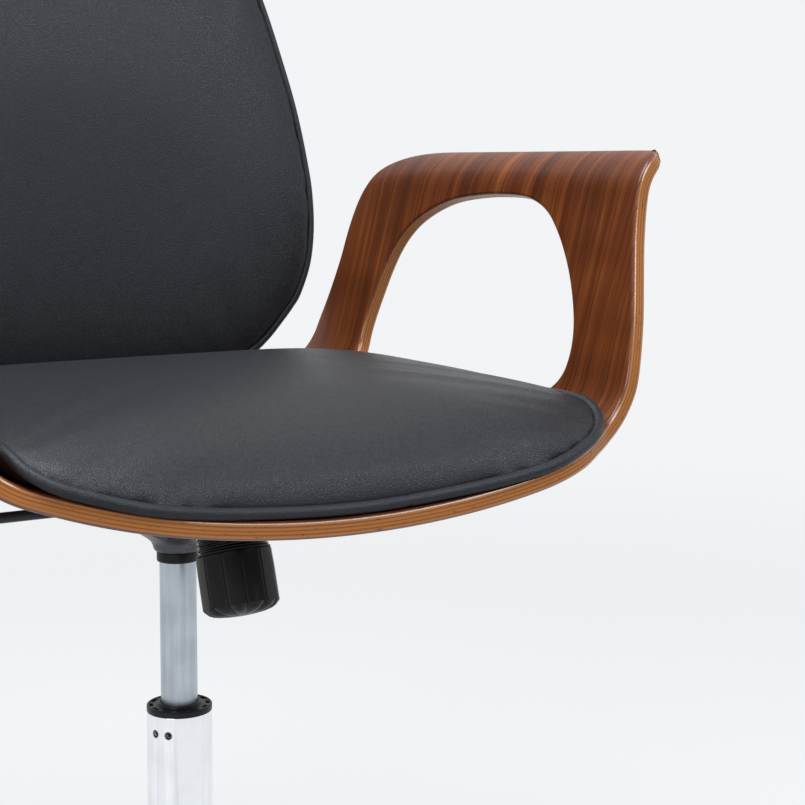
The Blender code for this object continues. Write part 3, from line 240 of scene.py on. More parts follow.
class ChairSizes(bpy.types.PropertyGroup):
    rim_rounding: length_property(
        "Rim rounding", "Radius of the plywood's rounded rim", 0.0030, 0.0005, 0.005)
    pad_voxel: length_property("Pad voxel", "Voxel of the skin that is inflated", 0.005, 0.004, 0.008)
    seat_swell: length_property(
        "Seat swell", "How far the seat pad's middle rises when it is stuffed", 0.005, 0.0, 0.03)
    back_swell: length_property(
        "Back swell", "How far the back pad's middle comes forward when it is stuffed", 0.012, 0.0, 0.03)
    stuffing: FloatProperty(
        name="Stuffing pressure", description="Pressure inside the pads", default=4.0, min=0.5, max=10.0)
    round_steps: IntProperty(
        name="Round steps", description="Steps round a turned piece", default=72, min=24, max=128)


class ChairFinishes(bpy.types.PropertyGroup):
    walnut_dark: colour_property("Walnut dark", "Dark streaks of the veneer", (0.036, 0.0086, 0.0030))
    walnut_mid: colour_property("Walnut", "Body colour of the veneer", (0.125, 0.0320, 0.0088))
    walnut_light: colour_property("Walnut light", "Light bands of the veneer", (0.310, 0.0960, 0.0230))
    honey: colour_property("Ply honey", "Light layers on the cut rim", (0.300, 0.1120, 0.0300))
    leather: colour_property("Leather", "Black of the pads and piping", (0.0145, 0.0155, 0.0190))
    plastic: colour_property("Plastic", "Black of the moulded parts", (0.0120, 0.0120, 0.0130))
    chrome: colour_property("Chrome", "Outer tube and base", (0.860, 0.880, 0.905))
    satin_steel: colour_property("Satin steel", "Inner cylinder", (0.450, 0.500, 0.545))


class ChairStage(bpy.types.PropertyGroup):
    key_power: power_property("Key light", "Power of the light overhead", 74.0)
    front_power: power_property("Front light", "Power of the light above the camera", 46.0)
    side_power: power_property("Side light", "Power of the light on the camera's left", 25.0)
    fill_power: power_property("Fill light", "Power of the light on the camera's right", 2.0)
    background: colour_property("Background", "Pale floor and backdrop", (0.890, 0.902, 0.915))


# Curves and profiles
def smooth_line(points, steps, closed=False):
    """Curve that passes through every point."""
    count = len(points)
    made = []
    for i in range(count if closed else count - 1):
        if closed:
            a, b, c, d = [Vector(points[(i + k - 1) % count]) for k in range(4)]
        else:
            a, b, c, d = [Vector(points[min(max(i + k - 1, 0), count - 1)]) for k in range(4)]
        for j in range(steps):
            t = j / steps
            made.append(0.5 * (2 * b + (c - a) * t + (2 * a - 5 * b + 4 * c - d) * t * t
                               + (3 * b - a - 3 * c + d) * t * t * t))
    if not closed:
        made.append(Vector(points[-1]))
    return made


def mirrored(half):
    """Whole loop from a half that starts and ends on the middle line."""
    other = [p.copy() for p in reversed(half[1:-1])]
    for p in other:
        p.x = -p.x
    return half + other


def even(points, count):
    """The closed loop again, with its points at an even step."""
    total = len(points)
    sides = [(points[(i + 1) % total] - points[i]).length for i in range(total)]
    made = []
    k = 0
    run = 0.0
    for i in range(count):
        want = sum(sides) * i / count
        while run + sides[k] < want:
            run += sides[k]
            k += 1
        made.append(points[k].lerp(points[(k + 1) % total], (want - run) / sides[k]))
    return made


def shell_runs():
    """The outer face from the middle of the seat to the arm's tip, as runs of (length, turn)."""
    runs = []
    heading = 0.0
    for radius, end in SHELL_ARCS:
        runs.append((radius * (end - heading), end - heading))
        heading = end
    flare = FLARE_R * (heading - FLARE_END)
    runs.append((SHELL_HALF - flare - sum(length for length, turn in runs), 0.0))
    runs.append((flare, FLARE_END - heading))
    return runs


SHELL_RUNS = shell_runs()


def shell_profile(s):
    """Across, height and slope of the plywood's outer face at a distance s along it."""
    left = abs(s)
    x, z, heading = 0.0, SHELL_BOTTOM, 0.0
    for length, turn in SHELL_RUNS:
        way = min(left, length)
        half = turn * way / length / 2.0
        chord = way * math.sin(half) / half if half else way
        x += chord * math.cos(heading + half)
        z += chord * math.sin(heading + half)
        heading += 2.0 * half
        left -= way
    return x + left * math.cos(heading), z + left * math.sin(heading), heading


def shell_point(s, forward, t):
    """Point of the bent board, t above its outer face."""
    x, z, heading = shell_profile(s)
    side = math.copysign(1.0, s)
    return Vector((side * (x - t * math.sin(heading)), COLUMN_Y - forward, z + t * math.cos(heading)))


INNER_FACE = [shell_point(0.001 * i, 0.0, PLY) for i in range(440)]


def inner_height(x):
    """Height of the plywood's upper face at a distance from the middle."""
    for a, b in zip(INNER_FACE, INNER_FACE[1:]):
        if b.x >= abs(x):
            return a.z + (b.z - a.z) * (abs(x) - a.x) / (b.x - a.x)
    return INNER_FACE[-1].z


def back_point(x, up, out):
    """Point of the back: across its curve, up its lean and out from the board's front face."""
    reach = BACK_PLAN_R - out
    depth = BACK_PLAN_R - reach * math.cos(x / BACK_PLAN_R)
    forward = BACK_FOOT_F - up * math.sin(BACK_LEAN) + depth * math.cos(BACK_LEAN)
    height = BACK_FOOT_Z + up * math.cos(BACK_LEAN) + depth * math.sin(BACK_LEAN)
    return Vector((reach * math.sin(x / BACK_PLAN_R), COLUMN_Y - forward, height))


# Modelling by hand
def alone():
    """Object mode, with nothing selected."""
    if bpy.context.object and bpy.context.object.mode != "OBJECT":
        bpy.ops.object.mode_set(mode="OBJECT")
    bpy.ops.object.select_all(action="DESELECT")


def focus(*pieces):
    """Only these pieces selected, and the first one active."""
    alone()
    for piece in pieces:
        piece.select_set(True)
    bpy.context.view_layer.objects.active = pieces[0]


def edit(piece):
    """Edit mode on one piece, with all of it selected."""
    focus(piece)
    bpy.ops.object.mode_set(mode="EDIT")
    bpy.ops.mesh.select_mode(type="VERT")
    bpy.ops.mesh.select_all(action="SELECT")


def closed_up(piece, weld=1e-6):
    """Edit mode's clean-up: doubles merged, faces turned outwards."""
    edit(piece)
    bpy.ops.mesh.remove_doubles(threshold=weld)
    bpy.ops.mesh.dissolve_degenerate(threshold=weld)
    bpy.ops.mesh.normals_make_consistent(inside=False)
    bpy.ops.object.mode_set(mode="OBJECT")
    return piece


def modified(piece, kind, **settings):
    """A modifier with its settings, applied."""
    focus(piece)
    made = piece.modifiers.new(kind.lower(), kind)
    for key, value in settings.items():
        setattr(made, key, value)
    bpy.ops.object.modifier_apply(modifier=made.name)
    return piece


def rounded(piece, width, steps=3, angle=30.0):
    """Bevel along the edges that are sharper than the angle."""
    return modified(piece, "BEVEL", width=width, segments=steps, limit_method="ANGLE",
                    angle_limit=math.radians(angle))


def smoothed(piece, angle=35.0):
    """Smooth shading, apart from the edges that are sharper than the angle."""
    focus(piece)
    bpy.ops.object.shade_smooth_by_angle(angle=math.radians(angle))
    return piece


def cut(piece, tool, operation="DIFFERENCE"):
    """The tool is taken from the piece, or joined to it, and goes."""
    modified(piece, "BOOLEAN", operation=operation, solver="EXACT", object=tool)
    bpy.data.objects.remove(tool, do_unlink=True)
    return piece


def ring_of(points):
    """Circle primitive with its corners moved to the points."""
    alone()
    bpy.ops.mesh.primitive_circle_add(vertices=len(points), fill_type="NOTHING")
    ring = bpy.context.object
    for vert, point in zip(ring.data.vertices, points):
        vert.co = point
    return ring


def turned(profile, steps, place=None):
    """Outline of (radius, height) spun about Z and set in place."""
    piece = ring_of([(r, 0.0, z) for r, z in profile])
    edit(piece)
    bpy.ops.mesh.spin(steps=steps, angle=2.0 * math.pi, center=(0.0, 0.0, 0.0), axis=(0.0, 0.0, 1.0))
    closed_up(piece, 2e-6)
    return put(piece, place)


def put(piece, place):
    """The piece moved by a matrix, with the move applied."""
    if place is not None:
        focus(piece)
        piece.matrix_world = place
        bpy.ops.object.transform_apply(location=True, rotation=True, scale=True)
    return piece


def extruded(outline, low, high, place_point, place=None):
    """Flat outline filled and extruded; place_point(u, v, w) sets its corners."""
    piece = ring_of([(u, v, low) for u, v in outline])
    edit(piece)
    bpy.ops.mesh.edge_face_add()
    bpy.ops.mesh.extrude_region_move(TRANSFORM_OT_translate={"value": (0.0, 0.0, high - low)})
    bpy.ops.object.mode_set(mode="OBJECT")
    for vert in piece.data.vertices:
        vert.co = place_point(*vert.co)
    return put(closed_up(piece), place)


def side_on(u, v, w):
    """Corner of a piece that is drawn from the side: forward, height, across."""
    return Vector((w, -u, v))


def applied(place=None):
    """The primitive that was added last, with its own place applied and then set in place."""
    bpy.ops.object.transform_apply(location=True, rotation=True, scale=True)
    return put(bpy.context.object, place)


def ball(radius, spot):
    """Sphere at a spot."""
    alone()
    bpy.ops.mesh.primitive_uv_sphere_add(segments=24, ring_count=16, radius=radius, location=spot)
    return applied()


def block(size, spot, place):
    """Box with its middle at a spot, set in place."""
    alone()
    bpy.ops.mesh.primitive_cube_add(size=1.0, location=spot)
    bpy.context.object.scale = size
    return applied(place)


def pin(radius, low, high, place=None, sides=24):
    """Upright cylinder from low to high, set in place."""
    alone()
    bpy.ops.mesh.primitive_cylinder_add(vertices=sides, radius=radius, depth=high - low,
                                        location=(0.0, 0.0, (low + high) / 2.0))
    return applied(place)


def poly_curve(dimensions, lines, closed=True):
    """Curve object with one straight-sided spline for each line."""
    alone()
    bpy.ops.curve.primitive_bezier_circle_add()
    piece = bpy.context.object
    piece.data.splines.clear()
    piece.data.dimensions = dimensions
    for line in lines:
        spline = piece.data.splines.new("POLY")
        spline.points.add(len(line) - 1)
        for point, spot in zip(spline.points, line):
            point.co = (*Vector(spot).to_3d(), 1.0)
        spline.use_cyclic_u = closed
    return piece


def board(loops, thickness, rounding):
    """Flat board with holes and rounded rims, drawn as a filled curve and made a mesh."""
    piece = poly_curve("2D", loops)
    curve = piece.data
    curve.fill_mode = "BOTH"
    curve.extrude = thickness / 2.0 - rounding
    curve.bevel_depth = rounding
    curve.bevel_resolution = 3
    curve.offset = -rounding
    bpy.ops.object.convert(target="MESH")
    closed_up(piece, 1e-5)
    for vert in piece.data.vertices:
        vert.co.z += thickness / 2.0
    return piece


def sliced(piece, lines):
    """Cuts across a flat board: lines are (along X or Y, place)."""
    edit(piece)
    for axis, place in lines:
        bpy.ops.mesh.select_all(action="SELECT")
        spot = (place, 0.0, 0.0) if axis == "X" else (0.0, place, 0.0)
        facing = (1.0, 0.0, 0.0) if axis == "X" else (0.0, 1.0, 0.0)
        bpy.ops.mesh.bisect(plane_co=spot, plane_no=facing, threshold=1e-6)
    bpy.ops.mesh.select_all(action="SELECT")
    bpy.ops.mesh.remove_doubles(threshold=2e-5)
    bpy.ops.mesh.dissolve_degenerate(threshold=1e-5)
    bpy.ops.object.mode_set(mode="OBJECT")
    return piece


def wrapped(piece, thickness, rounding, place_point, grain):
    """Bends a flat board and keeps its flat place, for the grain, and its exact normals."""
    mesh = piece.data
    flat = [v.co.copy() for v in mesh.vertices]
    lean = [v.normal.copy() for v in mesh.vertices]
    for key, kind in (("blank", "FLOAT_VECTOR"), ("rim", "FLOAT")):
        mesh.attributes.new(key, kind, "POINT")
    blank = mesh.attributes["blank"]
    rim = mesh.attributes["rim"]
    normals = []
    step = 1e-4
    for i, vert in enumerate(mesh.vertices):
        p = flat[i]
        blank.data[i].vector = grain(p)
        face_gap = min(p.z, thickness - p.z)
        rim.data[i].value = min(face_gap / rounding, 1.0)
        level = 0.0
        if face_gap < rounding:
            level = math.copysign(1.0 - face_gap / rounding, p.z - thickness / 2.0)
        outward = Vector((lean[i].x, lean[i].y, 0.0))
        outward = outward.normalized() if outward.length > 1e-4 else Vector((0.0, 0.0, 0.0))
        flat_normal = outward * math.sqrt(max(1.0 - level * level, 0.0)) + Vector((0.0, 0.0, level))
        spot = place_point(p.x, p.y, p.z)
        along = (place_point(p.x + step, p.y, p.z) - spot).normalized()
        across = (place_point(p.x, p.y + step, p.z) - spot).normalized()
        through = (place_point(p.x, p.y, p.z + step) - spot).normalized()
        turned_normal = along * flat_normal.x + across * flat_normal.y + through * flat_normal.z
        normals.append(turned_normal.normalized())
        vert.co = spot
    focus(piece)
    bpy.ops.object.shade_smooth()
    edit(piece)
    bpy.ops.mesh.flip_normals()
    bpy.ops.object.mode_set(mode="OBJECT")
    mesh.normals_split_custom_set_from_vertices([tuple(n) for n in normals])
    return piece


def tube_along(points, radius, sides, closed=True, swell=None):
    """Tube round a line, as a bevelled curve made a mesh; swell(i) scales its radius."""
    piece = poly_curve("3D", [points], closed)
    curve = piece.data
    if swell:
        for i, point in enumerate(curve.splines[0].points):
            point.radius = swell(i)
    curve.bevel_depth = radius
    curve.bevel_resolution = sides // 4 - 1
    curve.use_fill_caps = not closed
    bpy.ops.object.convert(target="MESH")
    return closed_up(piece)


def skin(loop, top, bottom, rings):
    """Closed pad skin from rings that shrink to the middle, above and below the loop."""
    count = len(loop)
    shares = [i / rings for i in range(rings + 1)]
    rows = [[top(p, r) for p in loop] for r in shares]
    rows += [[bottom(p, r) for p in loop] for r in shares[-2::-1]]
    verts = [p for row in rows for p in row]
    faces = []
    for k in range(len(rows) - 1):
        for i in range(count):
            j = (i + 1) % count
            faces.append((k * count + i, k * count + j, (k + 1) * count + j, (k + 1) * count + i))
    mesh = bpy.data.meshes.new("skin")
    mesh.from_pydata(verts, [], faces)
    piece = bpy.data.objects.new("skin", mesh)
    bpy.context.scene.collection.objects.link(piece)
    return closed_up(piece, 1e-5)


def stuffed(piece, held, height, swell, sizes):
    """Pad inflated as cloth. held(point) is true where it is sewn down, height(point) is its crown, and the
    rise of its crown is scaled to swell."""
    modified(piece, "REMESH", mode="VOXEL", voxel_size=sizes.pad_voxel, use_smooth_shade=True)
    start = [v.co.copy() for v in piece.data.vertices]
    group = piece.vertex_groups.new(name="sewn")
    group.add([v.index for v in piece.data.vertices if held(v.co)], 1.0, "REPLACE")
    cloth = piece.modifiers.new("stuffing", "CLOTH")
    cloth.settings.use_pressure = True
    cloth.settings.uniform_pressure_force = sizes.stuffing
    cloth.settings.effector_weights.gravity = 0.0
    cloth.settings.vertex_group_mass = "sewn"
    for number in range(1, SWELL_FRAMES + 1):
        bpy.context.scene.frame_set(number)
    focus(piece)
    bpy.ops.object.modifier_apply(modifier="stuffing")
    bpy.context.scene.frame_set(1)
    moves = [v.co - a for v, a in zip(piece.data.vertices, start)]
    top = max(range(len(start)), key=lambda i: height(start[i] + moves[i]) - height(start[i]))
    rise = height(start[top] + moves[top]) - height(start[top])
    share = swell / rise
    print("%s: the cloth rose %.1f mm, scaled by %.2f" % (piece.name, rise * 1000.0, share))
    for vert, a, move in zip(piece.data.vertices, start, moves):
        step = move * share
        if step.length > PAD_CAP:
            step = step.normalized() * PAD_CAP
        vert.co = a + step
    modified(piece, "SMOOTH", factor=0.5, iterations=4)
    modified(piece, "SUBSURF", levels=1, render_levels=1)
    focus(piece)
    bpy.ops.object.shade_smooth()
    return piece


def named(piece, name, look, body, slot, *nodes):
    """The finished piece, with its finish, riding on its body in place of its CAD nodes."""
    piece.name = name
    piece.data.name = name
    piece.data.materials.clear()
    piece.data.materials.append(look)
    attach(piece, body)
    if nodes:
        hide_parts(*nodes)
    return piece


# Shader maths
class Wire:
    """A socket that adds a Math node when it meets an operator."""

    def __init__(self, finish, socket):
        self.finish = finish
        self.socket = socket

    def maths(self, operation, *values):
        return self.finish.node("ShaderNodeMath", {"operation": operation}, dict(enumerate(values)))

    def __add__(self, other):
        return self.maths("ADD", self, other)

    def __sub__(self, other):
        return self.maths("SUBTRACT", self, other)

    def __rsub__(self, other):
        return self.maths("SUBTRACT", other, self)

    def __mul__(self, other):
        return self.maths("MULTIPLY", self, other)

    __radd__ = __add__
    __rmul__ = __mul__

    def between(self, low, high):
        """0 below low, 1 above high, smooth in between."""
        return self.finish.node("ShaderNodeMapRange", {"interpolation_type": "SMOOTHSTEP"}, {
            "Value": self, "From Min": low, "From Max": high,
        })


class Tree:
    """A node tree being made. node() adds any node: its settings, then the values or links of its sockets."""

    def __init__(self, tree):
        self.tree = tree

    def feed(self, socket, value):
        if isinstance(value, Wire):
            self.tree.links.new(value.socket, socket)
        else:
            socket.default_value = value

    def node(self, kind, settings=None, values=None, output=0):
        made = self.tree.nodes.new(kind)
        for key, value in (settings or {}).items():
            if key == "stops":
                self.ramp(made.color_ramp, value)
            else:
                setattr(made, key, value)
        for key, value in (values or {}).items():
            self.feed(made.inputs[key], value)
        return Wire(self, made.outputs[output])

    def ramp(self, ramp, stops):
        while len(ramp.elements) < len(stops):
            ramp.elements.new(0.5)
        for element, (place, colour) in zip(ramp.elements, stops):
            element.position = place
            element.color = (*colour, 1.0)

    def directly_seen(self):
        """1 for what the camera sees itself, in a mirror or through glass, and 0 for other light."""
        seen = self.node("ShaderNodeLightPath", output="Is Camera Ray")
        for kind in ("Is Glossy Ray", "Is Transmission Ray"):
            ray = self.node("ShaderNodeLightPath", output=kind)
            seen = self.node("ShaderNodeMath", {"operation": "MAXIMUM"}, {0: seen, 1: ray})
        return seen


class Finish(Tree):
    """A material being made round a Principled shader."""

    def __init__(self, name, colour, roughness, metallic=0.0, **fixed):
        self.material = bpy.data.materials.new(name)
        self.material.use_nodes = True
        super().__init__(self.material.node_tree)
        self.shader = self.tree.nodes["Principled BSDF"]
        self.feed(self.shader.inputs["Base Color"], (*colour, 1.0))
        self.feed(self.shader.inputs["Roughness"], roughness)
        self.feed(self.shader.inputs["Metallic"], metallic)
        for key, value in fixed.items():
            self.feed(self.shader.inputs[key.replace("_", " ")], value)

    def place(self, scale=(1.0, 1.0, 1.0), turn=(0.0, 0.0, 0.0), source=None, shift=(0.0, 0.0, 0.0)):
        """Object coordinates, or another vector, scaled and turned."""
        if source is None:
            source = self.node("ShaderNodeTexCoord", output="Object")
        return self.node("ShaderNodeMapping", values={
            "Vector": source, "Scale": scale, "Rotation": turn, "Location": shift,
        })

    def noise(self, vector, scale, detail=2.0, roughness=0.5):
        return self.node("ShaderNodeTexNoise", values={
            "Vector": vector, "Scale": scale, "Detail": detail, "Roughness": roughness,
        })

    def mix(self, factor, first, second):
        """Colour between two colours, by the Mix node's factor and its two colour sockets."""
        first, second = [value if isinstance(value, Wire) else (*value, 1.0) for value in (first, second)]
        return self.node("ShaderNodeMix", {"data_type": "RGBA"}, {0: factor, 6: first, 7: second}, 2)

    def colour(self, value):
        self.feed(self.shader.inputs["Base Color"], value)

    def roughness(self, value):
        self.feed(self.shader.inputs["Roughness"], value)

    def bump(self, height, strength, distance):
        lifted = self.node("ShaderNodeBump", values={
            "Height": height, "Strength": strength, "Distance": distance,
        })
        self.feed(self.shader.inputs["Normal"], lifted)


def times(colour, factor):
    """A colour made darker or lighter."""
    return tuple(c * factor for c in colour)


def walnut_finish(name, colours, seed):
    """Satin lacquer on walnut veneer, with the plies on the cut rim."""
    made = Finish(name, colours.walnut_mid, 0.32, Specular_IOR_Level=0.14, Coat_Roughness=0.14)
    blank = made.node("ShaderNodeAttribute", {"attribute_name": "blank"}, output="Vector")
    rim = made.node("ShaderNodeAttribute", {"attribute_name": "rim"}, output="Fac")
    sway = made.noise(made.place((1.6, 5.0, 0.0), source=blank, shift=(seed, 0.0, 0.0)), 2.0, 1.0)
    swayed = made.node("ShaderNodeVectorMath", {"operation": "MULTIPLY_ADD"}, {
        0: made.node("ShaderNodeCombineXYZ", values={"Y": sway - 0.5}), 1: (0.0, 0.030, 0.0), 2: blank,
    })
    bands = made.noise(made.place((1.0, 58.0, 0.0), source=swayed, shift=(seed, seed, 0.0)), 1.0, 3.0, 0.62)
    lines = made.noise(made.place((3.0, 420.0, 0.0), source=swayed, shift=(0.0, seed, 0.0)), 1.0, 2.0, 0.60)
    fibres = made.noise(made.place((26.0, 1500.0, 0.0), source=swayed), 1.0, 2.0, 0.6)
    ripple = made.noise(made.place((24.0, 9.0, 0.0), (0.0, 0.0, 0.35), blank), 1.0, 1.0)
    tone = bands * 0.46 + lines * 0.40 + fibres * 0.20 + ripple * 0.14 - 0.10
    face = made.node("ShaderNodeValToRGB", {"stops": [
        (0.36, colours.walnut_dark), (0.44, times(colours.walnut_mid, 0.62)), (0.52, colours.walnut_mid),
        (0.60, times(colours.walnut_light, 0.70)), (0.70, colours.walnut_light),
    ]}, {"Fac": tone})
    pores = fibres.between(0.60, 0.72)
    face = made.mix(lines.between(0.50, 0.60) * 0.75, face, colours.walnut_dark)
    face = made.mix(pores * 0.45, face, times(colours.walnut_dark, 0.8))
    depth = made.node("ShaderNodeSeparateXYZ", values={"Vector": blank}, output="Z")
    layer = made.noise(made.place((7.0, 7.0, 620.0), source=blank), 1.0, 1.0)
    fleck = made.noise(made.place((160.0, 160.0, 900.0), source=blank), 1.0, 2.0, 0.7)
    stripe = made.node("ShaderNodeMath", {"operation": "SINE"}, {
        0: depth * (2.0 * math.pi / PLY_LAYER) + layer * 2.6,
    })
    plies = made.mix(stripe.between(-1.0, 0.20), times(colours.honey, 0.55), colours.honey)
    plies = made.mix(fleck.between(0.62, 0.74) * 0.8, plies, colours.walnut_dark)
    plies = made.mix(layer.between(0.5, 0.75) * 0.35, plies, times(colours.honey, 1.35))
    made.colour(made.mix(rim.between(0.25, 0.75), face, plies))
    corner = rim.between(0.0, 0.35) * (1.0 - rim.between(0.65, 1.0))
    made.feed(made.shader.inputs["Coat Weight"], corner * 0.90 + 0.05)
    made.roughness(0.28 + pores * 0.14 + rim * 0.05)
    made.bump(fibres * 0.6 + lines * 0.4, 0.22, 0.00012)
    return made.material


def leather_finish(name, colours, pebble=0.0015, strength=0.55):
    """Black fine-pebbled leathercloth with a soft sheen."""
    made = Finish(name, colours.leather, 0.34, Specular_IOR_Level=0.24, Specular_Tint=(0.84, 0.91, 1.0, 1.0))
    where = made.place()
    warp = made.node("ShaderNodeVectorMath", {"operation": "MULTIPLY_ADD"}, {
        0: made.noise(where, 210.0, 1.0), 1: (0.0012, 0.0012, 0.0012), 2: where,
    })
    cells = made.node("ShaderNodeTexVoronoi", {"feature": "DISTANCE_TO_EDGE"}, {
        "Vector": warp, "Scale": 1.0 / pebble,
    })
    fine = made.noise(where, 1900.0, 2.0)
    broad = made.noise(where, 22.0, 2.0)
    crease = cells.between(0.0, 0.30)
    # Painted shade and light: the colour is darker in the creases between the pebbles and lighter on their
    # tops
    made.colour(made.mix(crease, times(colours.leather, 0.55), times(colours.leather, 1.12)))
    made.roughness(0.27 + broad * 0.06 + (1.0 - crease) * 0.14 + fine * 0.05)
    made.bump(crease * 0.85 + fine * 0.25, strength, 0.00030)
    return made.material


def chrome_finish(name, colours, roughness, dimple_shades=()):
    """Bright plate with a faint haze; the spots given as (place, radius) are painted shade: near-black colour
    over the punched dimples.
    """
    made = Finish(name, colours.chrome, roughness, 1.0)
    where = made.place()
    haze = made.noise(where, 26.0, 4.0, 0.6)
    fine = made.noise(made.place((900.0, 900.0, 40.0)), 1.0, 2.0)
    streaks = made.noise(made.place((210.0, 210.0, 6.0)), 1.0, 3.0, 0.6)
    tone = made.mix(haze.between(0.42, 0.70) * 0.5, times(colours.chrome, 1.04), times(colours.chrome, 0.86))
    tone = made.mix(streaks.between(0.50, 0.72) * 0.6, tone, times(colours.chrome, 0.80))
    # Painted shade: the colour turns near-black over each dimple
    for spot, radius in dimple_shades:
        away = made.node("ShaderNodeVectorMath", {"operation": "DISTANCE"}, {0: where, 1: spot}, "Value")
        tone = made.mix(1.0 - away.between(radius * 0.80, radius * 1.15), tone, (0.012, 0.012, 0.013))
    made.colour(tone)
    made.roughness(roughness * 0.7 + haze * roughness * 0.5 + fine * 0.03)
    return made.material


def satin_steel_finish(name, colour, roughness=0.30):
    """Ground steel with fine rings and faint lengthwise streaks."""
    made = Finish(name, colour, roughness, 1.0)
    rings = made.noise(made.place((40.0, 40.0, 2600.0)), 1.0, 3.0, 0.6)
    streaks = made.noise(made.place((260.0, 260.0, 9.0)), 1.0, 3.0, 0.6)
    cloud = made.noise(made.place(), 40.0, 3.0, 0.55)
    tone = streaks * 0.5 + cloud * 0.5
    made.colour(made.mix(tone.between(0.30, 0.72), times(colour, 0.80), times(colour, 1.12)))
    made.roughness(roughness - 0.05 + rings * 0.10 + cloud * 0.06)
    made.bump(rings, 0.10, 0.00005)
    return made.material


def painted_finish(name, colour, roughness=0.40, grain=1400.0, strength=0.25):
    """Powder-coated or moulded black with a fine grain."""
    made = Finish(name, colour, roughness, Specular_IOR_Level=0.16)
    where = made.place()
    texture = made.noise(where, grain, 2.0, 0.6)
    cloud = made.noise(where, 30.0, 3.0)
    made.colour(made.mix(cloud.between(0.35, 0.75), times(colour, 0.85), times(colour, 1.30)))
    made.roughness(roughness - 0.07 + cloud * 0.14)
    made.bump(texture, strength, 0.00010)
    return made.material


def sizes_and_colours(context):
    """The settings that shape and finish the pieces."""
    return context.scene.chair_sizes, context.scene.chair_finishes


# Operators
class CHAIR_OT_plywood_seat(bpy.types.Operator):
    """Bend the walnut board that makes the seat and both arms."""

    bl_idname = "chair.plywood_seat"
    bl_label = "Plywood seat"

    def execute(self, context):
        sizes, colours = sizes_and_colours(context)
        outline = mirrored(smooth_line(FRONT_EDGE + ARM_TOP_EDGE + REAR_EDGE, 6))
        opening = smooth_line(ARM_OPENING, 5, closed=True)
        other = [Vector((-p.x, p.y)) for p in opening]
        piece = board([outline, opening, other], PLY, sizes.rim_rounding)
        lines = [("Y", -0.20 + 0.040 * i) for i in range(12)]
        for side in (-1.0, 1.0):
            for start, step, count in BEND_CUTS:
                lines += [("X", side * (start + step * i)) for i in range(count)]
        sliced(piece, lines)
        wrapped(piece, PLY, sizes.rim_rounding, shell_point, lambda p: (p.x, p.y, p.z))
        look = walnut_finish("walnut_seat", colours, 3.7)
        named(piece, "walnut_seat_board", look, "seat", "walnut_ply", "seat_shell")
        return {"FINISHED"}


class CHAIR_OT_seat_pad(bpy.types.Operator):
    """Stuff the seat cushion."""

    bl_idname = "chair.seat_pad"
    bl_label = "Seat pad"

    def execute(self, context):
        sizes, colours = sizes_and_colours(context)
        path = seat_pipe_path(SKIN_SIDES)
        loop = [p + outward * PAD_UNDER_PIPE for p, outward in zip(path, plan_outward(path))]
        centre = Vector((0.0, PAD_MIDDLE, 0.0))
        lower = sizes.seat_swell

        def crown(f):
            """Height of the pad before it is stuffed, at a distance forward."""
            rear = min(max((REAR_SLOPE_START - f) / REAR_SLOPE_RUN, 0.0), 1.0)
            front = min(max((f - FRONT_SLOPE_START) / FRONT_SLOPE_RUN, 0.0), 1.0)
            return PAD_TOP - lower + (PAD_REAR_TOP - PAD_TOP) * rear ** 2 - PAD_FRONT_DROP * front ** 2

        def top(p, r):
            q = centre.lerp(p, r)
            share = (1.0 - r ** SEAT_FULLNESS) ** 0.5
            return Vector((q.x, COLUMN_Y - q.y, p.z + (crown(q.y) - p.z) * share))

        def bottom(p, r):
            q = centre.lerp(p, r)
            return Vector((q.x, COLUMN_Y - q.y, inner_height(q.x) + PAD_OVER_PLY))

        piece = skin(loop, top, bottom, SKIN_RINGS)
        rim = KDTree(len(loop))
        for i, p in enumerate(loop):
            rim.insert((p.x, COLUMN_Y - p.y, p.z), i)
        rim.balance()

        def held(point):
            return point.z < rim.find(point)[0].z + 0.001

        stuffed(piece, held, lambda p: p.z, sizes.seat_swell, sizes)
        named(piece, "seat_pad", leather_finish("leather_seat", colours), "seat", "pad_black", "seat_cushion")
        return {"FINISHED"}


def seat_pipe_path(count):
    """The seat piping's line as (across, forward, height)."""
    half = smooth_line(SEAT_PIPE, 8)
    full = mirrored(half)
    for p in full:
        p.z += inner_height(p.x) + PIPE_R + PIPE_OVER_PLY
    return even(full, count)


def plan_outward(path):
    """Directions away from the pad in plan."""
    count = len(path)
    made = []
    for i in range(count):
        ahead = path[(i + 1) % count] - path[i - 1]
        side = Vector((ahead.y, -ahead.x, 0.0)).normalized()
        middle = Vector((0.0, PAD_MIDDLE, path[i].z))
        made.append(side if side.dot(path[i] - middle) > 0.0 else -side)
    return made


def back_edge(inset, count):
    """The back's outline, moved in, as (across, up)."""
    full = mirrored(smooth_line(BACK_EDGE, 8))
    total = len(full)
    made = []
    for i in range(total):
        ahead = (full[(i + 1) % total] - full[i - 1]).normalized()
        made.append(full[i] - Vector((ahead.y, -ahead.x)) * inset)
    return even(made, count)


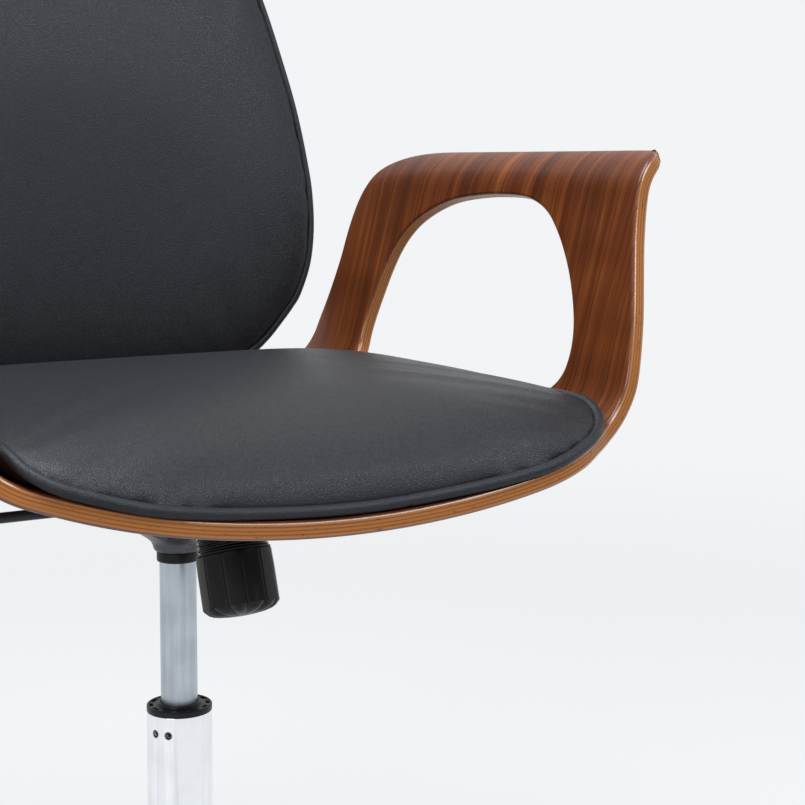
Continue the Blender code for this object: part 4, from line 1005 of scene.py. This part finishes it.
class CHAIR_OT_back_pad(bpy.types.Operator):
    """Stuff the back cushion."""

    bl_idname = "chair.back_pad"
    bl_label = "Back pad"

    def execute(self, context):
        sizes, colours = sizes_and_colours(context)
        loop = back_edge(BACK_PIPE_INSET - PAD_UNDER_PIPE, SKIN_SIDES)
        centre = Vector((0.0, BACK_MIDDLE))
        lower = sizes.back_swell
        face = (back_point(0.0, 0.0, 0.01) - back_point(0.0, 0.0, 0.0)).normalized()

        def top(p, r):
            q = centre.lerp(p, r)
            share = (1.0 - r ** BACK_FULLNESS) ** 0.5
            return back_point(q.x, q.y, BACK_PIPE_OUT + (BACK_PAD - lower - BACK_PIPE_OUT) * share)

        def bottom(p, r):
            q = centre.lerp(p, r)
            return back_point(q.x, q.y, BACK_PAD_OVER_PLY)

        piece = skin(loop, top, bottom, SKIN_RINGS)

        def out_of(point):
            depth = (point - back_point(0.0, 0.0, 0.0)).dot(face)
            return BACK_PLAN_R - math.hypot(point.x, BACK_PLAN_R - depth)

        stuffed(piece, lambda p: out_of(p) < BACK_SEWN_DEPTH, out_of, sizes.back_swell, sizes)
        named(piece, "back_pad", leather_finish("leather_back", colours), "seat", "pad_black", "back_cushion")
        return {"FINISHED"}


class CHAIR_OT_piping(bpy.types.Operator):
    """Lay the covered cords round both pads, each with its lapped joint."""

    bl_idname = "chair.piping"
    bl_label = "Piping"

    def execute(self, context):
        colours = context.scene.chair_finishes
        look = leather_finish("leather_piping", colours, 0.0012, 0.45)
        path = seat_pipe_path(PIPE_STEPS)
        points = [Vector((p.x, COLUMN_Y - p.y, p.z)) for p in path]
        joint = min(range(len(points)), key=lambda i: (points[i] - SEAT_LAP).length)
        seat = tube_along(points, PIPE_R, PIPE_SIDES, swell=lap(joint))
        named(seat, "seat_cord", look, "seat", "piping_black", "seat_piping")
        edge = back_edge(BACK_PIPE_INSET, PIPE_STEPS)
        points = [back_point(p.x, p.y, BACK_PIPE_OUT) for p in edge]
        back = tube_along(points, BACK_PIPE_R, PIPE_SIDES, swell=lap(3))
        named(back, "back_cord", look, "seat", "piping_black", "back_piping")
        for piece in (seat, back):
            smoothed(piece, 60.0)
        return {"FINISHED"}


def lap(joint):
    """Radius along a piping: one end is tucked under the other at the joint."""
    def swell(i):
        away = i - joint
        if away in (0, 1):
            return 0.93
        if 1 < away < LAP_STEPS:
            return 1.05 - 0.006 * away
        return 1.0
    return swell


class CHAIR_OT_back_board(bpy.types.Operator):
    """Bend the walnut board behind the back pad, with the steel bar and screws that carry it."""

    bl_idname = "chair.back_board"
    bl_label = "Back board and bar"

    def execute(self, context):
        colours = context.scene.chair_finishes
        edge = mirrored(smooth_line(BACK_EDGE, 6))
        piece = board([edge], BACK_PLY, BACK_ROUNDING)
        lines = [("X", -0.24 + 0.012 * i) for i in range(41)] + [("Y", 0.04 + 0.040 * i) for i in range(13)]
        sliced(piece, lines)

        def bent(x, y, z):
            return back_point(x, y, z - BACK_PLY)

        wrapped(piece, BACK_PLY, BACK_ROUNDING, bent, lambda p: (p.y, p.x + GRAIN_SHIFT, p.z))
        look = walnut_finish("walnut_back", colours, 8.2)
        named(piece, "walnut_back_board", look, "seat", "walnut_ply", "back_shell")
        black = painted_finish("black_bar", (0.020, 0.020, 0.022))
        bar = rounded(extruded(bar_outline(), -BAR_HALF, BAR_HALF, side_on, COLUMN), 0.0012)
        named(smoothed(bar), "back_bar", black, "seat", "steel_black", "back_bracket")
        zinc = satin_steel_finish("zinc_screws", (0.56, 0.58, 0.60), 0.28)
        design = screw_design()
        for index, forward in enumerate((-0.140, -0.195)):
            seated = face_frame(0.0, forward, -BAR_THICK - 2.0 * CLEARANCE)
            named(copied(design, seated), "bar_screw_%d" % (index + 1), zinc, "seat", "steel_bright",
                  "bracket_screw_%d" % (index + 1))
        for index, up in enumerate((0.070, 0.150)):
            low = back_point(0.0, up, -BACK_PLY - BAR_THICK - CLEARANCE - BACK_SHIM)
            facing = (back_point(0.0, up, 0.0) - low).normalized()
            seated = Matrix.Translation(low) @ facing.to_track_quat("Z", "Y").to_matrix().to_4x4()
            named(copied(design, seated), "board_screw_%d" % (index + 1), zinc, "seat", "steel_bright",
                  "back_screw_%d" % (index + 1))
        for index in range(4):
            s = SCREW_ACROSS * (-1.0 if index < 2 else 1.0)
            forward = (-0.070, 0.075)[index % 2]
            seated = face_frame(s, forward, -PLATE_THICK - 2.0 * CLEARANCE)
            named(copied(design, seated), "plate_screw_%d" % (index + 1), zinc, "seat", "steel_bright",
                  "seat_screw_%d" % (index + 1))
        bpy.data.objects.remove(design, do_unlink=True)
        return {"FINISHED"}


def face_frame(s, forward, t):
    """Frame on the plywood's outer face, with Z into the board and its origin t above the face."""
    low = shell_point(s, forward, 0.0)
    facing = (shell_point(s, forward, PLY) - low).normalized()
    return Matrix.Translation(low + facing * t) @ facing.to_track_quat("Z", "Y").to_matrix().to_4x4()


def screw_design():
    """Domed socket screw, head down, with its shank up Z."""
    piece = turned([
        (0.0, -0.0026), (0.0018, -0.0026), (0.0031, -0.0023), (0.0042, -0.0014), (0.0049, 0.0),
        (0.0025, 0.0), (0.0025, 0.0130), (0.0, 0.0130),
    ], 40)
    cut(piece, pin(SOCKET_R, -0.0036, -0.0008, sides=6))
    rounded(piece, 0.0002, 2, 40.0)
    return smoothed(piece)


def copied(design, place):
    """A copy with a mesh of its own, set in place."""
    focus(design)
    bpy.ops.object.duplicate()
    return put(bpy.context.object, place)


def bar_outline():
    """Side view of the bent bar as (forward, height)."""
    middle = SHELL_BOTTOM - CLEARANCE - BAR_THICK / 2.0
    foot = back_point(0.0, 0.0, -BACK_PLY - BACK_SHIM - BAR_THICK / 2.0)
    foot_forward = COLUMN_Y - foot.y
    corner = foot_forward + (foot.z - middle) * math.tan(BACK_LEAN)
    turn = math.pi / 2.0 - BACK_LEAN
    tangent = BAR_BEND_R * math.tan(turn / 2.0)
    line = [(-0.116, middle, 0.0)]
    for i in range(33):
        a = turn * i / 32.0
        forward = corner + tangent - BAR_BEND_R * math.sin(a)
        line.append((forward, middle + BAR_BEND_R * (1.0 - math.cos(a)), a))
    up = tangent + 0.185
    line.append((corner - up * math.sin(BACK_LEAN), middle + up * math.cos(BACK_LEAN), turn))
    half = BAR_THICK / 2.0
    lower = [(f - half * math.sin(a), z - half * math.cos(a)) for f, z, a in line]
    upper = [(f + half * math.sin(a), z + half * math.cos(a)) for f, z, a in line]
    return lower + upper[::-1]


class CHAIR_OT_gas_lift(bpy.types.Operator):
    """Turn the tubes, collar, bush and socket of the gas lift."""

    bl_idname = "chair.gas_lift"
    bl_label = "Gas lift"

    def execute(self, context):
        sizes, colours = sizes_and_colours(context)
        steps = sizes.round_steps
        bore = 0.0235
        tube = turned([
            (0.0056, 0.056), (0.0242, 0.056), (0.0242, 0.062), (TUBE_R, 0.110), (TUBE_R, TUBE_TOP),
            (bore, TUBE_TOP), (bore, 0.059), (0.0056, 0.059),
        ], steps)
        rounded(tube, 0.0004, 2, 25.0)
        # Painted shade: each dimple gets a near-black spot in the chrome's colour
        dimple_shades = []
        for degrees in DIMPLE_ANGLES:
            a = math.radians(degrees)
            spot = Vector((DIMPLE_OUT * math.cos(a), DIMPLE_OUT * math.sin(a), DIMPLE_Z))
            cut(tube, ball(DIMPLE_R, spot))
            dimple_shades.append((spot + Vector((0.0, COLUMN_Y, 0.0)), DIMPLE_SHADE_R))
        put(tube, COLUMN)
        look = chrome_finish("chrome_tube", colours, 0.16, dimple_shades)
        named(smoothed(tube), "outer_tube", look, "base", "column_chrome", "outer_column")

        collar = turned([
            (0.0166, 0.2780), (0.0232, 0.2780), (0.0232, TUBE_TOP + CLEARANCE),
            (0.0250, TUBE_TOP + CLEARANCE), (0.0250, COLLAR_TOP - 0.0006), (0.0244, COLLAR_TOP),
            (0.0236, COLLAR_TOP), (0.0234, COLLAR_TOP - 0.0005), (0.0192, COLLAR_TOP - 0.0005),
            (0.0168, COLLAR_TOP), (0.0162, COLLAR_TOP + 0.0018), (0.0146, COLLAR_TOP + 0.0018),
            (0.0146, 0.2900), (0.0166, 0.2895),
        ], steps)
        for i in range(COLLAR_SLOTS):
            turn = Matrix.Rotation(math.radians(360.0 / COLLAR_SLOTS * i + 9.0), 4, "Z")
            cut(collar, block((0.0030, 0.0072, 0.0060), (0.0215, 0.0, COLLAR_TOP + 0.0012), turn))
        rounded(collar, 0.00025, 2, 40.0)
        black = painted_finish("black_collar", colours.plastic, 0.36)
        named(smoothed(put(collar, COLUMN)), "tube_collar", black, "base", "plastic_black", "column_collar")

        cylinder = turned([
            (0.0055, 0.168), (0.0132, 0.168), (CYLINDER_R, 0.1688), (CYLINDER_R, 0.4180), (0.0132, 0.448),
            (0.0033, 0.448), (0.0033, 0.434), (0.011, 0.434), (0.011, 0.174), (0.0055, 0.174),
        ], steps)
        steel = satin_steel_finish("satin_cylinder", colours.satin_steel)
        named(smoothed(rounded(put(cylinder, COLUMN), 0.0003, 2, 30.0)), "lift_cylinder", steel, "lift",
              "cylinder_steel", "gas_cylinder")

        inner = CYLINDER_R + CLEARANCE
        bush = turned([
            (inner, BUSH_FOOT), (0.0155, BUSH_FOOT), (0.0160, BUSH_FOOT + 0.0006),
            (0.0160, BUSH_TOP - 0.0010), (0.0155, BUSH_TOP), (inner, BUSH_TOP),
        ], steps)
        named(smoothed(rounded(put(bush, COLUMN), 0.0003, 2, 30.0)), "cylinder_bush",
              painted_finish("black_bush", colours.plastic, 0.42), "lift", "plastic_black", "taper_bush")
        foot = BUSH_TOP + CLEARANCE
        flare = [(0.0172, foot), (0.0184, foot + 0.0016), (0.0192, foot + 0.0045), (0.0215, 0.4255),
                 (0.0290, 0.4310), (0.0350, 0.4345)]
        outer = [(p.x, p.y) for p in smooth_line(flare, 4)]
        ceiling = HOUSING_FLOOR - CLEARANCE
        socket = turned([(inner, foot)] + outer + [(0.0355, ceiling), (inner, ceiling)], steps)
        steel = satin_steel_finish("dark_socket", (0.085, 0.088, 0.094), 0.36)
        named(smoothed(put(socket, COLUMN), 40.0), "socket_flare", steel, "lift", "steel_black",
              "taper_socket")
        return {"FINISHED"}


class CHAIR_OT_mechanism(bpy.types.Operator):
    """Round the pressed housing and the seat plate, and wind the tension spring."""

    bl_idname = "chair.mechanism"
    bl_label = "Mechanism"

    def execute(self, context):
        sizes, colours = sizes_and_colours(context)
        black = painted_finish("black_mechanism", (0.022, 0.022, 0.024), 0.38)
        housing = rounded(merged_copy("mechanism_housing"), 0.0007, 2, 35.0)
        named(smoothed(housing), "pressed_housing", black, "lift", "steel_black", "mechanism_housing")
        plate = rounded(merged_copy("seat_plate"), 0.0006, 2, 35.0)
        named(smoothed(plate), "pressed_plate", black, "seat", "steel_black", "seat_plate")
        coil = tube_along(spring_line(), SPRING_WIRE_R, 12, closed=False)
        # Painted shade: a black sleeve inside the coil fills the gaps between the turns, where the inside of
        # the spring lies in shade
        inside = SPRING_R - SPRING_WIRE_R - CLEARANCE
        low, high = SPRING_FOOT + 0.0004, SPRING_HEAD - 0.0004
        shade_sleeve = turned([(inside - 0.0008, low), (inside, low), (inside, high), (inside - 0.0008, high)], 72)
        focus(coil, shade_sleeve)
        bpy.ops.object.join()
        look = painted_finish("black_spring", (0.006, 0.006, 0.0065), 0.22)
        named(smoothed(put(coil, KNOB)), "wound_spring", look, "lift", "spring_black", "tension_spring")
        washer = turned([
            (0.0044, -0.0003), (WASHER_R, -0.0003), (WASHER_R, 0.0012), (0.0044, 0.0012),
        ], sizes.round_steps)
        nylon = painted_finish("black_washer", colours.plastic, 0.40)
        named(smoothed(put(rounded(washer, 0.0003, 2), KNOB)), "spring_washer", nylon, "follower",
              "plastic_black", "tension_washer")
        return {"FINISHED"}


def merged_copy(node):
    """A copy of a CAD node with its loose triangles merged into faces."""
    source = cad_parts[node]
    piece = bpy.data.objects.new(node, source.data.copy())
    bpy.context.scene.collection.objects.link(piece)
    edit(piece)
    bpy.ops.mesh.remove_doubles(threshold=1e-5)
    bpy.ops.mesh.dissolve_limited(angle_limit=math.radians(0.5))
    bpy.ops.object.mode_set(mode="OBJECT")
    return piece


def spring_line():
    """Middle line of the coil: its open turns, and half a turn laid flat at both ends."""
    low = SPRING_FOOT + SPRING_WIRE_R
    high = SPRING_HEAD - SPRING_WIRE_R
    steps = 40
    line = []
    for i in range(-steps // 2, SPRING_TURNS * steps + steps // 2 + 1):
        a = 2.0 * math.pi * i / steps
        share = min(max(i / (SPRING_TURNS * steps), 0.0), 1.0)
        line.append((SPRING_R * math.cos(a), SPRING_R * math.sin(a), low + (high - low) * share))
    return line


class CHAIR_OT_tension_knob(bpy.types.Operator):
    """Turn the fluted knob."""

    bl_idname = "chair.tension_knob"
    bl_label = "Tension knob"

    def execute(self, context):
        colours = context.scene.chair_finishes
        profile = [
            (0.0044, -0.0006), (0.0264, -0.0006), (0.0272, -0.0010), (0.0276, -0.0020), (0.0278, -0.0060),
            (0.0280, -0.0130), (0.0280, -0.0250), (0.0280, -0.0380), (0.0276, -0.0388), (0.0245, -0.0418),
            (0.0215, -0.0432), (0.0170, -0.0442), (0.0100, -0.0450), (0.0, -0.0455), (0.0, -0.0340),
            (0.0044, -0.0340),
        ]
        piece = turned(profile, KNOB_LOBES * 20)
        for vert in piece.data.vertices:
            r = math.hypot(vert.co.x, vert.co.y)
            if r < KNOB_CORE_R:
                continue
            turn = math.atan2(vert.co.y, vert.co.x) * KNOB_LOBES / (2.0 * math.pi)
            off_middle = abs(turn - round(turn))
            flat = math.cos(math.pi / KNOB_LOBES) / math.cos(2.0 * math.pi * off_middle / KNOB_LOBES)
            seam = math.exp(-((0.5 - off_middle) / SEAM_WIDTH) ** 2)
            fade = min(max((-vert.co.z - 0.0010) / 0.0014, 0.0), 1.0)
            inner = min(max((r - KNOB_CORE_R) / 0.010, 0.0), 1.0)
            share = 1.0 - fade * inner * (KNOB_FLATNESS * (1.0 - flat) + SEAM_DEPTH * seam)
            vert.co.x *= share
            vert.co.y *= share
            if vert.co.z < KNOB_END_Z:
                vert.co.z += KNOB_SCALLOP * (2.0 * off_middle) ** 2 * inner
        look = painted_finish("black_knob", times(colours.plastic, 0.55), 0.36, 1100.0, 0.3)
        named(smoothed(put(piece, KNOB), 28.0), "fluted_knob", look, "knob", "plastic_black", "tension_knob")
        return {"FINISHED"}


class CHAIR_OT_lever(bpy.types.Operator):
    """Turn the height lever and its grip."""

    bl_idname = "chair.lever"
    bl_label = "Height lever"

    def execute(self, context):
        colours = context.scene.chair_finishes
        rod = turned([
            (0.0, -0.0050), (0.0019, -0.0050), (0.0019, 0.0280), (ROD_R, 0.0320), (ROD_R, 0.2330),
            (0.0, 0.2330),
        ], 40)
        steel = painted_finish("black_rod", (0.024, 0.024, 0.026), 0.30)
        named(smoothed(put(rounded(rod, 0.0004, 2), LEVER)), "height_rod", steel, "lever", "steel_black",
              "lever_rod")
        outer = smooth_line([
            (0.0070, 0.1500), (0.0085, 0.1525), (0.0083, 0.1650), (0.0080, 0.1850), (0.0088, 0.2080),
            (0.0100, 0.2280), (0.0105, 0.2395), (0.0098, 0.2435), (0.0075, 0.2452), (0.0030, 0.2455),
        ], 4)
        inner = ROD_R + CLEARANCE
        profile = [(inner, 0.1500)] + [(p.x, p.y) for p in outer]
        profile += [(0.0, 0.2455), (0.0, 0.2340), (inner, 0.2340)]
        grip = turned(profile, 48)
        look = painted_finish("black_grip", colours.plastic, 0.42)
        named(smoothed(put(grip, LEVER)), "lever_handle", look, "lever", "plastic_black", "lever_grip")
        return {"FINISHED"}


class CHAIR_OT_star_base(bpy.types.Operator):
    """Draw out five legs and join them to the turned hub."""

    bl_idname = "chair.star_base"
    bl_label = "Five-star base"

    def execute(self, context):
        sizes, colours = sizes_and_colours(context)
        hub = turned([
            (0.0, 0.060), (0.0335, 0.060), (0.0362, 0.0632), (0.0375, 0.075), (0.0375, 0.095),
            (0.0362, 0.108), (0.0345, 0.118), (0.0320, 0.1282), (0.0295, 0.132), (0.0, 0.132),
        ], 60)
        for angle in LEG_ANGLES:
            turn = Matrix.Rotation(angle, 4, "Z")
            end = turn @ Matrix.Translation((LEG_REACH, 0.0, 0.0))
            boss = turned([
                (0.0, 0.0615), (0.0155, 0.0615), (0.0165, 0.0640), (0.0168, 0.0840), (0.0160, 0.0868),
                (0.0140, 0.0888), (0.0090, 0.0898), (0.0, 0.0900),
            ], 40, end)
            cut(hub, drawn_leg(turn), "UNION")
            cut(hub, boss, "UNION")
            cut(hub, pin(STEM_BORE_R, STEM_BORE_FOOT, 0.0855, end))
        bore = turned([
            (0.0, 0.030), (0.0245, 0.030), (0.0245, 0.062), (TUBE_R + CLEARANCE, 0.110),
            (TUBE_R + CLEARANCE, 0.160), (0.0, 0.160),
        ], sizes.round_steps)
        cut(hub, bore)
        look = chrome_finish("polished_base", colours, 0.13)
        named(smoothed(put(hub, COLUMN), 32.0), "polished_star", look, "base", "base_chrome", "star_base")
        return {"FINISHED"}


def drawn_leg(turn):
    """One leg: a rounded section that is extruded and scaled outwards."""
    rows = smooth_line([
        (0.022, 0.0970, 0.0205, 0.0270), (0.060, 0.0955, 0.0190, 0.0235), (0.130, 0.0885, 0.0165, 0.0185),
        (0.210, 0.0805, 0.0145, 0.0140), (0.268, 0.0765, 0.0135, 0.0118),
    ], 5)
    sides = 32
    section = []
    for i in range(sides):
        a = 2.0 * math.pi * i / sides
        section.append((math.copysign(abs(math.cos(a)) ** 0.75, math.cos(a)),
                        math.copysign(abs(math.sin(a)) ** 0.65, math.sin(a))))
    first = rows[0]
    piece = ring_of([(first[0], u * first[2], first[1] + v * first[3]) for u, v in section])
    edit(piece)
    bpy.ops.mesh.edge_face_add()
    for before, row in zip(rows, rows[1:]):
        bpy.ops.mesh.extrude_region_move(
            TRANSFORM_OT_translate={"value": (row[0] - before[0], 0.0, row[1] - before[1])})
        bpy.ops.transform.resize(value=(1.0, row[2] / before[2], row[3] / before[3]),
                                 center_override=(row[0], 0.0, row[1]))
    return put(closed_up(piece), turn)


class CHAIR_OT_castors(bpy.types.Operator):
    """Model one hood and one wheel, and set copies under the legs."""

    bl_idname = "chair.castors"
    bl_label = "Castors"

    def execute(self, context):
        colours = context.scene.chair_finishes
        plastic = painted_finish("black_hood", colours.plastic, 0.36)
        tyre = painted_finish("black_wheel", times(colours.plastic, 1.2), 0.50, 700.0, 0.35)
        hood = hood_design()
        wheel = wheel_design()
        sideways = Matrix.Rotation(math.radians(90.0), 4, "Y")
        for index, angle in enumerate(LEG_ANGLES):
            label = "castor_%d" % (index + 1)
            across, back = LEG_REACH * math.cos(angle), LEG_REACH * math.sin(angle)
            foot = Matrix.Translation((across, COLUMN_Y + back, 0.0))
            named(copied(hood, foot), label + "_cover", plastic, label, "plastic_black", label + "_hood")
            for side, tag in ((1.0, "left"), (-1.0, "right")):
                out = Matrix.Translation((side * WHEEL_IN, TRAIL, WHEEL_R))
                turn = sideways if side > 0.0 else sideways.inverted()
                named(copied(wheel, foot @ out @ turn), label + "_tyre_" + tag, tyre,
                      "wheels_%d" % (index + 1), "wheel_black", label + "_wheel_" + tag)
        for design in (hood, wheel):
            bpy.data.objects.remove(design, do_unlink=True)
        return {"FINISHED"}


def arc_points(radius, count, back=False):
    """Arc over the wheels as (forward, height)."""
    made = []
    for i in range(count):
        a = math.radians(HOOD_START + HOOD_SWEEP * i / (count - 1))
        made.append((radius * math.cos(a) - TRAIL, WHEEL_R + radius * math.sin(a)))
    return made[::-1] if back else made


def hood_design():
    """Hood over both wheels, with its web and neck."""
    hood = extruded(arc_points(0.0290, 40) + arc_points(0.0268, 40, True), -0.0265, 0.0265, side_on)
    web = extruded(arc_points(0.0280, 40) + [
        (-0.0200 - TRAIL, 0.0180), (-0.0080 - TRAIL, 0.0130), (0.0080 - TRAIL, 0.0130),
        (0.0200 - TRAIL, 0.0180),
    ], -0.0092, 0.0092, side_on)
    neck = turned([
        (0.0, 0.0300), (0.0088, 0.0300), (0.0088, 0.0520), (0.0098, 0.0545), (0.0110, 0.0560),
        (0.0110, 0.0600), (0.0, 0.0600),
    ], 40)
    cut(hood, web, "UNION")
    cut(hood, neck, "UNION")
    cut(hood, pin(STEM_BORE_R, STEM_BORE_FOOT, 0.070))
    axle = Matrix.Translation((0.0, TRAIL, WHEEL_R)) @ Matrix.Rotation(math.radians(90.0), 4, "Y")
    cut(hood, pin(AXLE_BORE_R, -0.03, 0.03, axle))
    rounded(hood, 0.0005, 2, 40.0)
    return smoothed(hood)


def wheel_design():
    """Wheel turned about Z: a rounded tread, a dished face with a ring, and five small webs."""
    piece = turned([
        (AXLE_BORE_R, 0.0), (0.0225, 0.0), (0.0240, 0.0006), (0.0248, 0.0020), (0.0250, 0.0040),
        (0.0250, 0.0120), (0.0248, 0.0140), (0.0240, 0.0154), (0.0226, 0.0160), (0.0205, 0.0160),
        (0.0198, 0.0146), (0.0110, 0.0140), (0.0104, 0.0150), (0.0090, 0.0152), (AXLE_BORE_R, 0.0150),
    ], 80)
    for i in range(5):
        turn = Matrix.Rotation(math.radians(72.0 * i), 4, "Z")
        cut(piece, block((0.0075, 0.0016, 0.0016), (0.0152, 0.0, 0.0146), turn))
    rounded(piece, 0.0003, 2, 35.0)
    return smoothed(piece)


class CHAIR_OT_inner_parts(bpy.types.Operator):
    """Finish the CAD parts that are kept as they are."""

    bl_idname = "chair.inner_parts"
    bl_label = "Inner parts"

    def execute(self, context):
        colours = context.scene.chair_finishes
        ground = satin_steel_finish("ground_steel", (0.58, 0.60, 0.62), 0.24)
        zinc = satin_steel_finish("zinc_steel", (0.50, 0.51, 0.53), 0.34)
        black = painted_finish("moulded_black", colours.plastic, 0.45)
        kept = {
            ground: ["piston_rod", "valve_pin", "pivot_shaft", "tension_bolt", "thrust_bearing"],
            zinc: ["retaining_clip"],
            black: ["guide_sleeve"],
        }
        for index in range(1, 6):
            kept[zinc] += ["castor_%d_stem" % index, "castor_%d_axle" % index]
        for look, names in kept.items():
            for name in names:
                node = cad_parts[name]
                for part in node.material_slots:
                    part.material = look
        return {"FINISHED"}


class CHAIR_OT_stage(bpy.types.Operator):
    """Set up the floor, the lights and the camera."""

    bl_idname = "chair.stage"
    bl_label = "Stage"

    def execute(self, context):
        stage = context.scene.chair_stage
        self.floor(stage)
        self.world(context, stage)
        self.lights(stage)
        self.camera(context)
        context.scene.view_settings.view_transform = "Standard"
        return {"FINISHED"}

    def floor(self, stage):
        alone()
        bpy.ops.mesh.primitive_plane_add(size=FLOOR_SIZE, location=(0.0, 0.0, -0.0002))
        floor = bpy.context.object
        floor.name = "pale_floor"
        bpy.ops.object.transform_apply(location=True)
        made = Finish("pale_floor", (0.72, 0.73, 0.74), 0.9)
        surface = made.tree.nodes["Material Output"].inputs["Surface"]
        away = made.node("ShaderNodeVectorMath", {"operation": "LENGTH"}, {0: made.place()}, output="Value")
        share = made.directly_seen() * (0.70 + away.between(0.6, 3.0) * 0.30)
        glow = made.node("ShaderNodeEmission", values={"Color": (*stage.background, 1.0), "Strength": 1.0})
        blend = made.node("ShaderNodeMixShader", values={
            0: share, 1: Wire(made, made.shader.outputs[0]), 2: glow,
        })
        made.feed(surface, blend)
        floor.data.materials.append(made.material)

    def world(self, context, stage):
        world = bpy.data.worlds.new("pale_room")
        context.scene.world = world
        world.use_nodes = True
        world.node_tree.nodes.clear()
        made = Tree(world.node_tree)
        room = made.node("ShaderNodeBackground", values={"Color": ROOM_COLOUR, "Strength": ROOM_LIGHT})
        backdrop = made.node("ShaderNodeBackground", values={"Color": (*stage.background, 1.0)})
        blend = made.node("ShaderNodeMixShader", values={0: made.directly_seen(), 1: room, 2: backdrop})
        output = made.tree.nodes.new("ShaderNodeOutputWorld")
        made.feed(output.inputs["Surface"], blend)

    def lights(self, stage):
        rows = [
            ("overhead", stage.key_power, 1.5, (-0.6, 0.1, 2.7), (0.0, 0.0, 0.55), (1.0, 0.99, 0.97)),
            ("front_softbox", stage.front_power, 1.2, (0.8, -1.8, 2.3), (0.0, 0.1, 0.80), (0.97, 0.98, 1.0)),
            ("left_softbox", stage.side_power, 1.2, (-2.3, -1.6, 1.7), (0.0, 0.0, 0.60), (1.0, 0.98, 0.95)),
            ("right_softbox", stage.fill_power, 1.2, (2.2, -1.0, 1.4), (0.0, 0.0, 0.55), (0.97, 0.98, 1.0)),
        ]
        for name, power, size, spot, aim, colour in rows:
            alone()
            bpy.ops.object.light_add(type="AREA", location=spot)
            lamp = bpy.context.object
            lamp.name = name
            lamp.rotation_euler = (Vector(aim) - Vector(spot)).to_track_quat("-Z", "Y").to_euler()
            lamp.data.energy = power
            lamp.data.size = size
            lamp.data.color = colour

    def camera(self, context):
        across = Vector((math.cos(VIEW_TURN), -math.sin(VIEW_TURN), 0.0))
        ahead = Vector((math.sin(VIEW_TURN), math.cos(VIEW_TURN), 0.0))
        spot = Vector((0.0, COLUMN_Y, EYE_HEIGHT)) + across * EYE_SIDE - ahead * EYE_AWAY
        alone()
        tilt = Matrix.Rotation(math.radians(90.0) - VIEW_PITCH, 4, "X") @ Matrix.Rotation(-VIEW_ROLL, 4, "Z")
        facing = (Matrix.Rotation(-VIEW_TURN, 4, "Z") @ tilt).to_euler()
        bpy.ops.object.camera_add(location=spot, rotation=facing)
        camera = bpy.context.object
        camera.data.sensor_width = SENSOR
        camera.data.lens = FOCAL_PIXELS / IMAGE_SIZE * SENSOR
        camera.data.shift_y = VIEW_SHIFT
        camera.data.clip_start = 0.05
        context.scene.camera = camera


class CHAIR_PT_panel(bpy.types.Panel):
    """Lists the chair's pieces and its sizes and colours."""

    bl_idname = "CHAIR_PT_panel"
    bl_label = "Office Chair"
    bl_space_type = "VIEW_3D"
    bl_region_type = "UI"
    bl_category = "Chair"

    def draw(self, context):
        for operator in OPERATORS:
            self.layout.operator(operator.bl_idname)
        for group in (context.scene.chair_sizes, context.scene.chair_finishes, context.scene.chair_stage):
            box = self.layout.box()
            for key in group.__annotations__:
                box.prop(group, key)


OPERATORS = [
    CHAIR_OT_stage, CHAIR_OT_plywood_seat, CHAIR_OT_seat_pad, CHAIR_OT_back_pad, CHAIR_OT_piping,
    CHAIR_OT_back_board, CHAIR_OT_gas_lift, CHAIR_OT_mechanism, CHAIR_OT_tension_knob, CHAIR_OT_lever,
    CHAIR_OT_star_base, CHAIR_OT_castors, CHAIR_OT_inner_parts,
]
GROUPS = {"chair_sizes": ChairSizes, "chair_finishes": ChairFinishes, "chair_stage": ChairStage}


def register():
    for group in (*GROUPS.values(), *OPERATORS, CHAIR_PT_panel):
        bpy.utils.register_class(group)
    for key, group in GROUPS.items():
        setattr(bpy.types.Scene, key, PointerProperty(type=group))


def unregister():
    for key in GROUPS:
        delattr(bpy.types.Scene, key)
    for group in reversed((*GROUPS.values(), *OPERATORS, CHAIR_PT_panel)):
        bpy.utils.unregister_class(group)


def main():
    register()
    for operator in OPERATORS:
        family, action = operator.bl_idname.split(".")
        getattr(getattr(bpy.ops, family), action)()


if __name__ == "__main__":
    main()
